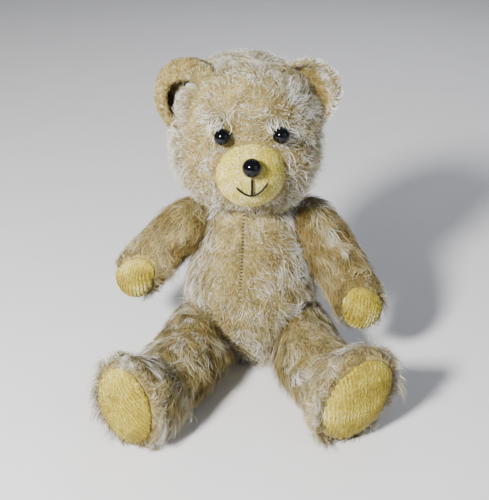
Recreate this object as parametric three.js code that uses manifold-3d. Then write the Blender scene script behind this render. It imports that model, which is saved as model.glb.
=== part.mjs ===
// A seated, disc-jointed mohair teddy bear: sewn covers, stuffing, pads, face and joint hardware.
// Millimetres, +Z up. The bear faces -Y and sits on z = 0, with its own left arm and leg at +X.
// The origin is on the floor under the middle of the body.
import * as THREE from "three";
import { mergeVertices } from "three/addons/utils/BufferGeometryUtils.js";
import Module from "manifold-3d";

const wasm = await Module();
wasm.setup();

// Sewn covers
const WALL = 1.8; // backing cloth with its pressed pile
const GAP = 0.3; // clearance between neighbouring pieces
const FAR = 400; // size of a cutting block, larger than the bear
const MERGE = 1e-4;

// Joint hardware, measured along each pin from the plane between two covers
const DISC_THICK = 2.5;
const WASHER_THICK = 0.8;
const WASHER_RADIUS = 7;
const PIN_RADIUS = 1.3;
const PIN_HOLE = PIN_RADIUS + GAP;
const DISC_NEAR = GAP + WALL + GAP;
const DISC_FAR = DISC_NEAR + DISC_THICK;
const WASHER_NEAR = DISC_FAR + GAP;
const WASHER_FAR = WASHER_NEAR + WASHER_THICK;
const POCKET_RADIUS = 8; // room in the stuffing round a pin's head or rolled legs
const POCKET_DEPTH = 14;

// Body: an egg, as half-width and height, deeper at the back than it is at the front
const BODY_OUTLINE = [
  [0, -3.5],
  [17, -1.5],
  [31, 10],
  [45, 36],
  [51.5, 63],
  [48, 90],
  [41, 115],
  [34, 136],
  [26, 148.5],
  [0, 157],
];
const BODY_DEPTH = 0.86; // half-depth over half-width
const BODY_BACK = 2; // how far the middle of the body sits behind the origin

// Head: half-width and height, with its middle beside the neck pin
const HEAD_OUTLINE = [
  [0, 147],
  [23, 148.5],
  [42, 160],
  [51.5, 177],
  [53.5, 195],
  [51.5, 215],
  [45, 235],
  [33, 251],
  [16, 258],
  [0, 259],
];
const HEAD_DEPTH = 0.95;
const HEAD_SIDE = -4;
const HEAD_FORWARD = -4;
const HEAD_TURN = THREE.MathUtils.degToRad(4);

// Face, in the head's own frame: the origin is under its middle, and -Y is the way it looks
const MUZZLE_AT = [0.5, -34, 189];
const MUZZLE_SIZE = [26.5, 29, 28];
const EYE_RADIUS = 6.5;
const EYE_AT = [19.6, 218];
const EYE_SIDE = 1; // the pair sits a little to its left of the middle
const EYE_STAND = 3; // how far the ball's middle stands out of the cover
const NOSE_RADIUS = 7.8;
const NOSE_HEIGHT = 201;
const NOSE_STAND = 2.6;
const SHANK_RADIUS = 1.1;
const SHANK_LENGTH = 7;
const MOUTH_TOP = 193.6;
const MOUTH_BOTTOM = 180;
const MOUTH_CORNERS = [
  [-11, 186.5],
  [11.5, 189.5],
];
const THREAD_RADIUS = 0.55;

// Ears: a cupped flap of two layers, set on each upper corner of the head
const EAR_SIZE = [23, 9, 26];
const EARS = {
  right: { side: -1, at: [-51.5, -5, 239], lean: 40 },
  left: { side: 1, at: [44.5, -2, 242], lean: 42 },
};

// Front closing seam
const SEAM_TOP = 143;
const SEAM_BOTTOM = 26;
const SEAM_SIDE = [-5.5, -11]; // x at the top and at the bottom
const STITCH_PITCH = 9;
const STITCH_LENGTH = 3.4;

// Joints: place, direction out of the body and disc radius. A hip also has the radius of the room
// beside the body that its leg turns in, from a little raised to standing.
const JOINTS = {
  neck: { at: [0, 0, 150], out: [0, 0, 1], disc: 16 },
  right_shoulder: { at: [-35.5, 1, 121], out: [-0.951, 0, 0.309], disc: 12 },
  left_shoulder: { at: [35.5, 1, 121], out: [0.951, 0, 0.309], disc: 12 },
  right_hip: { at: [-24, -10, 35.2], out: [-0.906, 0, -0.423], disc: 13.5, room: 29.5 },
  left_hip: { at: [24, -10, 35.2], out: [0.906, 0, -0.423], disc: 13.5, room: 29.5 },
};
const LEG_RAISE = THREE.MathUtils.degToRad(16);
const LEG_BACK = THREE.MathUtils.degToRad(5);

// Arms: a round-ended tube from the shoulder to the paw, with a pad set into the palm
const ARMS = {
  right: { reach: [-49, 12, -58], palm: [-0.45, -0.85, -0.25] },
  left: { reach: [41, -30, -59], palm: [0.2, -0.95, -0.1] },
};
const ARM_STANDOFF = 10.5; // from the joint plane to the middle of the arm
const ARM_RADIUS = 19;
const SHOULDER_RADIUS = 20;
const ARM_BOW = 4; // outward bow of the elbow
const PAW_PAD_RADIUS = 21.5;
const PAW_PAD_UP = 6; // how far the pad sits up the arm from the middle of the paw

// Legs: from the hip to an upturned foot with a flat sole, whose half-sizes are given for each foot
const LEGS = {
  right: { sole: [-93, -131, 36], roll: 4, foot: [27, 40.5] },
  left: { sole: [81, -122, 36], roll: -26, foot: [30.5, 42] },
};
const LEG_STANDOFF = 17;
const THIGH_RADIUS = 28;
const ANKLE_RADIUS = 27;
const LEG_BOW = 7; // how far the middle of the leg bows towards the other leg
const FOOT_LENGTH = 46; // how far back from the sole the foot begins to grow
const SOLE_ROUND = 12;
const SOLE_PAD_DEPTH = 7.5;

const UP = new THREE.Vector3(0, 0, 1);

const COLOURS = {
  mohair: 0xc9a877,
  plush: 0xd9c06a,
  stuffing: 0xcdb98c,
  board: 0x8a6a45,
  steel: 0xa8a9ad,
  glass: 0x0b0b0d,
  black_thread: 0x141416,
  brown_thread: 0x5a4630,
};
const FINISHES = {
  mohair: [COLOURS.mohair, 0.9, 0],
  plush: [COLOURS.plush, 0.8, 0],
  stuffing: [COLOURS.stuffing, 0.95, 0],
  board: [COLOURS.board, 0.85, 0],
  steel: [COLOURS.steel, 0.35, 1],
  glass: [COLOURS.glass, 0.08, 0],
  black_thread: [COLOURS.black_thread, 0.6, 0],
  brown_thread: [COLOURS.brown_thread, 0.8, 0],
};

const vector = (place) => new THREE.Vector3(...place);

// The geometry with only its places, shared vertices merged.
function welded(geometry) {
  const plain = geometry.clone();
  plain.deleteAttribute("normal");
  plain.deleteAttribute("uv");
  return mergeVertices(plain, MERGE);
}

// A closed geometry as a solid that can be cut and joined.
function solid(geometry) {
  const merged = welded(geometry);
  return new wasm.Manifold(
    new wasm.Mesh({
      numProp: 3,
      vertProperties: merged.attributes.position.array,
      triVerts: new Uint32Array(merged.index.array),
    }),
  );
}

// The surface moved inwards along its normals.
function inset(geometry, depth) {
  const merged = welded(geometry);
  merged.computeVertexNormals();
  const place = merged.attributes.position;
  const normal = merged.attributes.normal;
  for (let i = 0; i < place.count; i++) {
    place.setXYZ(
      i,
      place.getX(i) - normal.getX(i) * depth,
      place.getY(i) - normal.getY(i) * depth,
      place.getZ(i) - normal.getZ(i) * depth,
    );
  }
  return merged;
}

// A closed skin through oval stations: stationAt(t) gives the middle, the two half-axes and their sizes.
function skin(stationAt, columns, rows) {
  const geometry = new THREE.SphereGeometry(1, columns, rows);
  const place = geometry.attributes.position;
  const point = new THREE.Vector3();
  for (let i = 0; i < place.count; i++) {
    const t = Math.acos(THREE.MathUtils.clamp(place.getY(i), -1, 1)) / Math.PI;
    const angle = Math.atan2(place.getZ(i), place.getX(i));
    const { middle, across, along, width, height } = stationAt(t);
    const ring = Math.hypot(place.getX(i), place.getZ(i)) < 1e-6 ? 0 : 1;
    point.copy(middle);
    point.addScaledVector(across, ring * width * Math.cos(angle));
    point.addScaledVector(along, ring * height * Math.sin(angle));
    place.setXYZ(i, point.x, point.y, point.z);
  }
  return geometry;
}

// Everything on the side of a plane that its normal points to.
function beyond(point, normal) {
  const block = new THREE.BoxGeometry(FAR, FAR, FAR);
  block.translate(0, 0, FAR / 2);
  block.applyQuaternion(new THREE.Quaternion().setFromUnitVectors(UP, normal));
  block.translate(point.x, point.y, point.z);
  return solid(block);
}

// A round bar between two distances along a line.
function bar(start, direction, from, to, radius, sides = 16) {
  const rod = new THREE.CylinderGeometry(radius, radius, to - from, sides);
  rod.rotateX(Math.PI / 2);
  rod.translate(0, 0, (from + to) / 2);
  rod.applyQuaternion(new THREE.Quaternion().setFromUnitVectors(UP, direction));
  rod.translate(start.x, start.y, start.z);
  return solid(rod);
}

// A ball stretched to three half-sizes, then leant about Y and placed.
function ball(size, place, lean = 0, columns = 12, rows = 8) {
  const geometry = new THREE.SphereGeometry(1, columns, rows);
  geometry.rotateX(Math.PI / 2);
  geometry.scale(...size);
  geometry.rotateY(THREE.MathUtils.degToRad(lean));
  geometry.translate(...place);
  return geometry;
}

// A thread or wire of round section along a curve.
function thread(curve, radius, steps, sides = 6) {
  const section = new THREE.Shape();
  section.absarc(0, 0, radius, 0, 2 * Math.PI);
  return new THREE.ExtrudeGeometry(section, {
    steps,
    curveSegments: Math.ceil(sides / 2), // an arc gets two points for each
    bevelEnabled: false,
    extrudePath: curve,
  });
}

const jointAt = (name) => vector(JOINTS[name].at);
const jointOut = (name) => vector(JOINTS[name].out).normalize();

// The room that a leg turns through beside the body: round at the hip, open below and in front.
function legRoom(start, out, radius) {
  const back = Math.PI - LEG_BACK;
  const front = Math.PI / 2 + LEG_RAISE;
  const outline = new THREE.Shape();
  outline.absarc(0, 0, radius, back, front, true);
  outline.lineTo(FAR, radius + FAR * Math.tan(LEG_RAISE));
  outline.lineTo(FAR, -FAR);
  outline.lineTo(radius * Math.cos(back) - FAR * Math.tan(LEG_BACK), -FAR);
  const block = new THREE.ExtrudeGeometry(outline, {
    depth: FAR,
    curveSegments: 6,
    bevelEnabled: false,
  });
  const outRight = new THREE.Vector3(-Math.abs(out.x), out.y, out.z);
  const forwards = new THREE.Vector3(0, -1, 0);
  const upwards = new THREE.Vector3().crossVectors(outRight, forwards);
  block.applyMatrix4(new THREE.Matrix4().makeBasis(forwards, upwards, outRight));
  const room = solid(block);
  const beside = out.x < 0 ? room : room.mirror([1, 0, 0]);
  return beside.translate(start.toArray());
}

// What a joint cuts from a cover or its filling, which is set back from the joint plane by depth.
// The body keeps the inner side of each plane; a head or limb keeps the outer side.
function jointCut(name, onBody, depth) {
  const out = jointOut(name);
  const inwards = onBody ? -1 : 1;
  const start = jointAt(name).addScaledVector(out, inwards * (GAP + depth));
  const { room } = JOINTS[name];
  if (onBody && room) {
    return legRoom(start, out, room + depth);
  }
  return beyond(start, out.clone().multiplyScalar(onBody ? 1 : -1));
}

// The room for one side's disc, washer and pin end, cut from the stuffing.
function hardwareRoom(name, onBody) {
  const inwards = jointOut(name).multiplyScalar(onBody ? -1 : 1);
  const radius = JOINTS[name].disc + 2 * GAP;
  const wide = bar(jointAt(name), inwards, 0, WASHER_FAR + GAP, radius, 12);
  const deep = bar(jointAt(name), inwards, 0, POCKET_DEPTH, POCKET_RADIUS, 8);
  return wide.add(deep);
}

// One skin set back by depth, cut flat at the floor and at its joints.
function trimmed(shape, joints, onBody, depth) {
  let whole = solid(inset(shape, depth));
  whole = whole.subtract(beyond(new THREE.Vector3(0, 0, depth), new THREE.Vector3(0, 0, -1)));
  for (const name of joints) {
    whole = whole.subtract(jointCut(name, onBody, depth));
  }
  return whole;
}

// The hollow cover and the stuffing of one sewn piece. Where the piece is convex the stuffing has half
// the cover's columns and rows, so that its corners lie under the cover's own and its flats inside.
function stuffedPiece({ stationAt, columns, rows, joints, onBody = false, convex = true }) {
  const shape = skin(stationAt, columns, rows);
  const outside = trimmed(shape, joints, onBody, 0);
  const inside = trimmed(shape, joints, onBody, WALL);
  let cover = outside.subtract(inside);
  const core = convex ? skin(stationAt, columns / 2, rows / 2) : shape;
  let filling = trimmed(core, joints, onBody, WALL + 2 * GAP);
  for (const name of joints) {
    cover = cover.subtract(bar(jointAt(name), jointOut(name), -9, 9, PIN_HOLE, 8));
    filling = filling.subtract(hardwareRoom(name, onBody));
  }
  return { cover, filling };
}

const bear = new THREE.Group();

// Adds one named sub-part in its finish.
function addPart(name, shape, finish) {
  const { vertProperties, triVerts, numProp } = shape.getMesh();
  const count = vertProperties.length / numProp;
  const places = new Float32Array(count * 3);
  for (let i = 0; i < count; i++) {
    places.set(vertProperties.subarray(i * numProp, i * numProp + 3), i * 3);
  }
  const geometry = new THREE.BufferGeometry();
  geometry.setAttribute("position", new THREE.BufferAttribute(places, 3));
  geometry.setIndex(new THREE.BufferAttribute(triVerts, 1));
  geometry.computeVertexNormals();
  const [color, roughness, metalness] = FINISHES[finish];
  const mesh = new THREE.Mesh(
    geometry,
    new THREE.MeshStandardMaterial({ color, roughness, metalness }),
  );
  mesh.name = name;
  bear.add(mesh);
}

// A station of an upright, turned shape: the outline gives half-width and height.
function uprightStations(outline, side, forward, depthRatio) {
  const curve = new THREE.SplineCurve(outline.map(([width, z]) => new THREE.Vector2(width, z)));
  return (t) => {
    const { x: width, y: z } = curve.getPoint(1 - t);
    return {
      middle: new THREE.Vector3(side, forward, z),
      across: new THREE.Vector3(1, 0, 0),
      along: new THREE.Vector3(0, -1, 0),
      width,
      height: width * depthRatio,
    };
  };
}

// The place on the front of an upright shape at a given x and height.
function frontPoint(stationAt, x, z, lift) {
  let low = 0;
  let high = 1;
  for (let i = 0; i < 30; i++) {
    const half = (low + high) / 2;
    if (stationAt(half).middle.z > z) low = half;
    else high = half;
  }
  const { middle, width, height } = stationAt(low);
  const share = Math.sqrt(Math.max(0, 1 - ((x - middle.x) / width) ** 2));
  return new THREE.Vector3(x, middle.y - height * share - lift, z);
}

const bodyStations = uprightStations(BODY_OUTLINE, 0, BODY_BACK, BODY_DEPTH);
const headStations = uprightStations(HEAD_OUTLINE, HEAD_SIDE, HEAD_FORWARD, HEAD_DEPTH);

// Body: cover, stuffing and the closing seam, whose stitches cross it at an even pitch.
function addBody() {
  const { cover, filling } = stuffedPiece({
    stationAt: bodyStations,
    columns: 20,
    rows: 12,
    joints: Object.keys(JOINTS),
    onBody: true,
  });
  addPart("body_cover", cover, "mohair");
  addPart("body_stuffing", filling, "stuffing");

  const lift = THREAD_RADIUS + GAP;
  const seamPoint = (z, aside = 0) => {
    const down = (SEAM_TOP - z) / (SEAM_TOP - SEAM_BOTTOM);
    const x = THREE.MathUtils.lerp(SEAM_SIDE[0], SEAM_SIDE[1], down) + aside;
    return frontPoint(bodyStations, x, z, lift);
  };
  const places = [];
  const SEAM_POINTS = 24;
  for (let i = 0; i <= SEAM_POINTS; i++) {
    places.push(seamPoint(THREE.MathUtils.lerp(SEAM_TOP, SEAM_BOTTOM, i / SEAM_POINTS)));
  }
  const line = new THREE.CatmullRomCurve3(places);
  let seam = solid(thread(line, THREAD_RADIUS, SEAM_POINTS, 4));
  for (let z = SEAM_TOP - STITCH_PITCH; z > SEAM_BOTTOM + STITCH_PITCH; z -= STITCH_PITCH) {
    const ends = [seamPoint(z, -STITCH_LENGTH / 2), seamPoint(z, STITCH_LENGTH / 2)];
    const stitch = new THREE.LineCurve3(...ends);
    seam = seam.add(solid(thread(stitch, THREAD_RADIUS * 0.9, 1, 4)));
  }
  addPart("front_seam", seam, "brown_thread");
}

// Turns a direction of the head's own frame to its rest angle on the neck pin.
const turned = (direction) => direction.clone().applyAxisAngle(UP, HEAD_TURN);

// Turns a place of the head's own frame and sets it on the head's middle.
const onHead = (place) => turned(place).add(new THREE.Vector3(HEAD_SIDE, HEAD_FORWARD, 0));

// The place on the muzzle's front at a given x and height, in the head's own frame.
function muzzlePoint(x, z, lift = 0) {
  const [mx, my, mz] = MUZZLE_AT;
  const [a, b, c] = MUZZLE_SIZE;
  const share = Math.sqrt(1 - ((x - mx) / a) ** 2 - ((z - mz) / c) ** 2);
  return new THREE.Vector3(x, my - b * share - lift, z);
}

// A round button: a ball cut flat at its back, with a shank that goes through the cloth.
function button(radius, place, outwards) {
  const whole = solid(ball([radius, radius, radius], place.toArray(), 0, 12, 8));
  const back = place.clone().addScaledVector(outwards, -radius * 0.45);
  const inwards = outwards.clone().negate();
  const shank = bar(back, inwards, -1, SHANK_LENGTH, SHANK_RADIUS, 6);
  return whole.subtract(beyond(back, inwards)).add(shank);
}

// Head: cover with a round hole for the muzzle piece, stuffing, muzzle, ears, eyes, nose and mouth.
function addHead() {
  const spin = THREE.MathUtils.radToDeg(HEAD_TURN);
  const turn = (shape) => shape.rotate([0, 0, spin]).translate([HEAD_SIDE, HEAD_FORWARD, 0]);
  const muzzle = ball(MUZZLE_SIZE, MUZZLE_AT, 0, 18, 10);
  const headSkin = skin(headStations, 20, 12);
  const { cover, filling } = stuffedPiece({
    stationAt: headStations,
    columns: 20,
    rows: 12,
    joints: ["neck"],
  });
  const muzzleOutside = turn(solid(muzzle));
  const muzzleInside = turn(solid(inset(muzzle, WALL)));
  const muzzleFilling = turn(solid(inset(muzzle, WALL + GAP)));

  let headCover = cover.subtract(muzzleInside);
  const headOutside = solid(inset(headSkin, -GAP));
  let muzzleCover = muzzleOutside.subtract(muzzleInside).subtract(headOutside);
  let stuffing = filling.add(muzzleFilling.subtract(hardwareRoom("neck", false)));

  for (const side of [-1, 1]) {
    const outwards = new THREE.Vector3(side * 0.3, -0.93, 0.2).normalize();
    const eyeX = HEAD_SIDE + EYE_SIDE + side * EYE_AT[0];
    const surface = frontPoint(headStations, eyeX, EYE_AT[1], 0);
    surface.sub(new THREE.Vector3(HEAD_SIDE, HEAD_FORWARD, 0));
    const place = onHead(surface.addScaledVector(outwards, EYE_STAND));
    const direction = turned(outwards);
    const eye = button(EYE_RADIUS, place, direction);
    const hole = bar(place, direction.clone().negate(), 0, SHANK_LENGTH + 6, SHANK_RADIUS + GAP, 6);
    headCover = headCover.subtract(hole);
    stuffing = stuffing.subtract(hole);
    const bed = solid(ball([1, 1, 1].map(() => EYE_RADIUS + GAP), place.toArray(), 0, 12, 8));
    headCover = headCover.subtract(bed);
    stuffing = stuffing.subtract(bed);
    addPart(side < 0 ? "eye_right" : "eye_left", eye, "glass");
  }

  const noseOut = turned(new THREE.Vector3(0, -0.96, 0.28).normalize());
  const nosePlace = onHead(muzzlePoint(0, NOSE_HEIGHT)).addScaledVector(noseOut, NOSE_STAND);
  const noseHole = bar(nosePlace, noseOut.clone().negate(), 0, 16, SHANK_RADIUS + GAP, 6);
  const noseBed = solid(ball([1, 1, 1].map(() => NOSE_RADIUS + GAP), nosePlace.toArray(), 0, 12, 8));
  muzzleCover = muzzleCover.subtract(noseHole).subtract(noseBed);
  stuffing = stuffing.subtract(noseHole).subtract(noseBed);
  addPart("nose", button(NOSE_RADIUS, nosePlace, noseOut), "glass");

  addPart("mouth_stitches", mouth(), "black_thread");
  addPart("head_cover", headCover, "mohair");
  addPart("head_stuffing", stuffing, "stuffing");
  addPart("muzzle", muzzleCover, "plush");
  addEars(solid(inset(headSkin, -GAP)));
}

// Three sewn lines that meet under the nose, as one thread.
function mouth() {
  const lift = THREAD_RADIUS + GAP;
  const onMuzzle = ([x, z]) => onHead(muzzlePoint(x, z, lift));
  const low = [0, MOUTH_BOTTOM];
  const upright = [0, 0.5, 1].map((share) => {
    return onMuzzle([0, THREE.MathUtils.lerp(MOUTH_BOTTOM, MOUTH_TOP, share)]);
  });
  let stitches = solid(thread(new THREE.CatmullRomCurve3(upright), THREAD_RADIUS, 4));
  for (const [x, z] of MOUTH_CORNERS) {
    const sag = [x * 0.6, THREE.MathUtils.lerp(MOUTH_BOTTOM, z, 0.3)];
    const curve = new THREE.CatmullRomCurve3([low, sag, [x, z]].map(onMuzzle));
    stitches = stitches.add(solid(thread(curve, THREAD_RADIUS, 6)));
  }
  return stitches;
}

// Each ear is a flap hollowed on its front and cut to the head.
function addEars(headOutside) {
  for (const [name, { side, at, lean }] of Object.entries(EARS)) {
    const flap = solid(ball(EAR_SIZE, at, side * lean, 14, 8));
    const [width, depth, height] = EAR_SIZE;
    const [x, y, z] = at;
    const hollow = solid(
      ball([width - 3.5, depth, height - 3.5], [x, y - depth * 0.72, z], side * lean, 14, 8),
    );
    addPart(`ear_${name}`, flap.subtract(hollow).subtract(headOutside), "mohair");
  }
}

// How full a round-ended tube is at a distance along it: 0 at the tips and 1 between them.
function fullness(distance, length, startRound, endRound) {
  const fromStart = Math.max(0, startRound - distance) / startRound;
  const fromEnd = Math.max(0, distance - (length - endRound)) / endRound;
  return Math.sqrt(Math.max(0, 1 - fromStart ** 2 - fromEnd ** 2));
}

// Arm: from a flat face on the shoulder joint, down to a rounded paw.
function addArm(name) {
  const { reach, palm } = ARMS[name];
  const joint = `${name}_shoulder`;
  const out = jointOut(joint);
  const shoulder = jointAt(joint).addScaledVector(out, ARM_STANDOFF);
  const reachVector = vector(reach);
  const direction = reachVector.clone().normalize();
  const paw = shoulder.clone().add(reachVector);
  const length = reachVector.length() + SHOULDER_RADIUS + ARM_RADIUS;
  const across = new THREE.Vector3().crossVectors(out, direction).normalize();
  const along = new THREE.Vector3().crossVectors(direction, across).normalize();
  const stationAt = (t) => {
    const distance = (length * (1 - Math.cos(Math.PI * t))) / 2;
    const share = distance / length;
    const full = fullness(distance, length, SHOULDER_RADIUS, ARM_RADIUS);
    const bow = ARM_BOW * Math.sin(Math.PI * share);
    const middle = shoulder.clone().addScaledVector(direction, distance - SHOULDER_RADIUS);
    middle.addScaledVector(along, bow);
    const radius = THREE.MathUtils.lerp(SHOULDER_RADIUS, ARM_RADIUS, Math.min(1, 1.6 * share));
    return { middle, across, along, width: radius * full, height: radius * full };
  };
  const { cover, filling } = stuffedPiece({ stationAt, columns: 12, rows: 10, joints: [joint] });
  const palmOut = vector(palm).normalize();
  const padMiddle = paw.clone().addScaledVector(palmOut, ARM_RADIUS + 2);
  padMiddle.addScaledVector(direction, -PAW_PAD_UP);
  const padRoom = (grow) => {
    const reachOfPad = PAW_PAD_RADIUS + grow;
    return solid(ball([reachOfPad, reachOfPad, reachOfPad], padMiddle.toArray(), 0, 12, 8));
  };
  addPart(`arm_${name}_cover`, cover.subtract(padRoom(GAP)), "mohair");
  addPart(`arm_${name}_stuffing`, filling, "stuffing");
  addPart(`paw_pad_${name}`, cover.intersect(padRoom(0)), "plush");
}

// Leg: from a flat face on the hip joint, tapering to the ankle, with a foot that turns up.
function addLeg(name) {
  const { sole, roll, foot: footSize } = LEGS[name];
  const joint = `${name}_hip`;
  const hip = jointAt(joint).addScaledVector(jointOut(joint), LEG_STANDOFF);
  const soleMiddle = vector(sole);
  const level = new THREE.Vector3(soleMiddle.x - hip.x, soleMiddle.y - hip.y, 0);
  const direction = level.clone().normalize();
  const length = level.length() + THIGH_RADIUS;
  const side = new THREE.Vector3().crossVectors(UP, direction).normalize();
  const stationAt = (t) => {
    const distance = (length * (1 - Math.cos(Math.PI * t))) / 2;
    const full = fullness(distance, length, THIGH_RADIUS, SOLE_ROUND);
    const foot = THREE.MathUtils.smoothstep(distance, length - FOOT_LENGTH, length - SOLE_ROUND);
    const taper = Math.min(1, distance / (length - FOOT_LENGTH));
    const shin = THREE.MathUtils.lerp(THIGH_RADIUS, ANKLE_RADIUS, taper);
    const width = THREE.MathUtils.lerp(shin, footSize[0], foot);
    const height = THREE.MathUtils.lerp(shin, footSize[1], foot);
    const turn = THREE.MathUtils.degToRad(roll) * foot;
    const across = side.clone().applyAxisAngle(direction, turn);
    const along = UP.clone().applyAxisAngle(direction, turn);
    const middle = hip.clone().addScaledVector(direction, distance - THIGH_RADIUS);
    middle.x -= Math.sign(hip.x) * LEG_BOW * Math.sin((Math.PI * distance) / length) ** 2;
    const lowest = Math.hypot(height * along.z, width * across.z);
    middle.z = THREE.MathUtils.lerp(hip.z + 1.5 * taper, lowest - 0.6, foot);
    return { middle, across, along, width: width * full, height: height * full };
  };
  const { cover, filling } = stuffedPiece({
    stationAt,
    columns: 16,
    rows: 14,
    joints: [joint],
    convex: false,
  });
  const soleEnd = hip.clone().addScaledVector(direction, length - THIGH_RADIUS - SOLE_PAD_DEPTH);
  addPart(
    `leg_${name}_cover`,
    cover.subtract(beyond(soleEnd.clone().addScaledVector(direction, -GAP), direction)),
    "mohair",
  );
  addPart(`leg_${name}_stuffing`, filling, "stuffing");
  addPart(`sole_pad_${name}`, cover.intersect(beyond(soleEnd, direction)), "plush");
}

// A round plate with a pin hole, between two distances from the joint plane.
function plate(name, side, near, far, radius, halfSides) {
  const ring = new THREE.Shape();
  ring.absarc(0, 0, radius, 0, 2 * Math.PI);
  const hole = new THREE.Path();
  hole.absarc(0, 0, PIN_HOLE, 0, 2 * Math.PI);
  ring.holes.push(hole);
  const plain = new THREE.ExtrudeGeometry(ring, {
    depth: far - near,
    curveSegments: halfSides,
    bevelEnabled: false,
  });
  plain.translate(0, 0, near);
  const inwards = jointOut(name).multiplyScalar(side);
  plain.applyQuaternion(new THREE.Quaternion().setFromUnitVectors(UP, inwards));
  plain.translate(...JOINTS[name].at);
  return solid(plain);
}

// Cotter pin: an eye on the head or limb side, a shank, and two legs rolled over inside the body.
function cotterPin(name) {
  const EYE_RING = 2.7;
  const WIRE = 1.1;
  const CURL = 2.7;
  const eyeHeight = WASHER_FAR + GAP + EYE_RING + WIRE;
  const shankEnd = -(WASHER_FAR + GAP);
  const eye = new THREE.TorusGeometry(EYE_RING, WIRE, 5, 8);
  eye.rotateX(Math.PI / 2);
  eye.translate(0, 0, eyeHeight);
  const shank = new THREE.CylinderGeometry(PIN_RADIUS, PIN_RADIUS, 1, 6);
  shank.rotateX(Math.PI / 2);
  const top = eyeHeight - EYE_RING;
  const foot = shankEnd - 2;
  shank.scale(1, 1, top - foot);
  shank.translate(0, 0, (top + foot) / 2);
  let pin = solid(eye).add(solid(shank));
  for (const side of [-1, 1]) {
    const places = [0, 0.25, 0.5, 0.75, 1].map((share) => {
      const angle = Math.PI * share;
      const x = side * (CURL - CURL * Math.cos(angle) + 0.4);
      return new THREE.Vector3(x, 0, foot + 0.6 - CURL * Math.sin(angle));
    });
    pin = pin.add(solid(thread(new THREE.CatmullRomCurve3(places), WIRE, 4, 4)));
  }
  const place = new THREE.Matrix4().compose(
    jointAt(name),
    new THREE.Quaternion().setFromUnitVectors(UP, jointOut(name)),
    new THREE.Vector3(1, 1, 1),
  );
  return pin.transform(place.elements);
}

// Each joint's five pieces: a disc and a washer on each side, and the pin through them.
function addJointHardware(name) {
  for (const [word, side] of [
    ["inner", -1],
    ["outer", 1],
  ]) {
    const disc = plate(name, side, DISC_NEAR, DISC_FAR, JOINTS[name].disc, 8);
    const washer = plate(name, side, WASHER_NEAR, WASHER_FAR, WASHER_RADIUS, 5);
    addPart(`${name}_${word}_disc`, disc, "board");
    addPart(`${name}_${word}_washer`, washer, "steel");
  }
  addPart(`${name}_pin`, cotterPin(name), "steel");
}

addBody();
addHead();
for (const name of ["right", "left"]) {
  addArm(name);
  addLeg(name);
}
for (const name of Object.keys(JOINTS)) {
  addJointHardware(name);
}

export default bear;
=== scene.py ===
"""Threadbare mohair teddy bear with disc joints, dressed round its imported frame.

Metres, +Z up. The bear faces -Y and sits on z = 0, with its own left arm and leg at +X.
Sizes in the classes are millimetres unless their names say otherwise.
"""

import logging
import math
from dataclasses import dataclass
from enum import Enum
from typing import Callable, Sequence

import bmesh
import bpy
import numpy as np
from mathutils import Matrix, Vector, kdtree


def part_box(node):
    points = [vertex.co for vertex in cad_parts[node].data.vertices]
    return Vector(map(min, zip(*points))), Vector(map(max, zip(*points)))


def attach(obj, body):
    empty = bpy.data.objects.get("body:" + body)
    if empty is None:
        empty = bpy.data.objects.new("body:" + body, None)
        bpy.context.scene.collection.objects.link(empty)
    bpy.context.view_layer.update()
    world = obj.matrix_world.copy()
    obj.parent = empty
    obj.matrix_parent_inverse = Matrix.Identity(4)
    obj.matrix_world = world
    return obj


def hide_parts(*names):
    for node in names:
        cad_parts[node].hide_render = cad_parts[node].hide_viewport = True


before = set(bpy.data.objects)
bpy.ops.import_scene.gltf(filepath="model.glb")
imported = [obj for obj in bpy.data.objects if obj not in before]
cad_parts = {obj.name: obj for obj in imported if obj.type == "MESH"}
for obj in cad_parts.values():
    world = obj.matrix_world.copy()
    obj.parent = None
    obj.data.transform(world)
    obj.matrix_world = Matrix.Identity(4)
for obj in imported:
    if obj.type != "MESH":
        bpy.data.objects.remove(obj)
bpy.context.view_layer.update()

MM = 0.001
FLOOR_CLEAR = 0.25  # mm that the pile keeps above the floor
UV_NAME = "OFBake"
LOG = logging.getLogger("bear")

SHEEN_SPREAD = 0.4  # roughness of every sheen
# The fine nap is painted shade: it darkens the cloth's colour where it also lowers its bump.
BAND = 0.314  # a Wave texture's scale times its period
NAP_SHADE_SHARE = 0.35  # how much the fine nap tints a woven cloth, against its patches
NAP_SHADE_MEAN = 0.17  # what that adds on average, taken off again
ROOT_DEPTH = 0.3  # mm that fibres are rooted under the skin
LOCK_LENGTHS = (0.45, 1.3)  # the shortest and longest lock, against the coat's length
MAP_HALF = 0.006  # half of a fibre's width on its colour map
# One subdivision, the same in view and in render.
SMOOTHED = [("SUBSURF", {"levels": 1, "render_levels": 1})]
UP = np.array([0.0, 0.0, 1.0])

Points = np.ndarray
Field = Callable[[Points], np.ndarray]
Flow = Callable[[Points, Points], np.ndarray]


# ---------------------------------------------------------------------------------------------
# Colours and materials


def linear(code: str) -> tuple[float, float, float, float]:
    """Turns an sRGB hex colour into linear RGBA.

    Args:
        code: the colour as "#rrggbb".

    Returns:
        Linear red, green and blue, with alpha 1.
    """
    values = [int(code[i : i + 2], 16) / 255 for i in (1, 3, 5)]
    flat = [v / 12.92 if v <= 0.04045 else ((v + 0.055) / 1.055) ** 2.4 for v in values]
    return (*flat, 1.0)


def add_node(tree: bpy.types.NodeTree, kind: str, settings: dict, links: dict) -> bpy.types.Node:
    """Adds one node with its settings and the links into it.

    Args:
        tree: the node tree.
        kind: the node's type name.
        settings: node properties by name, then socket values by name or number after a "=".
        links: the output socket that feeds each input, by the input's name or number.

    Returns:
        The new node.
    """
    node = tree.nodes.new(kind)
    for name, value in settings.items():
        if name.startswith("="):
            key = name[1:]
            node.inputs[int(key) if key.isdigit() else key].default_value = value
        else:
            setattr(node, name, value)
    for name, output in links.items():
        tree.links.new(output, node.inputs[name])
    return node


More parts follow.
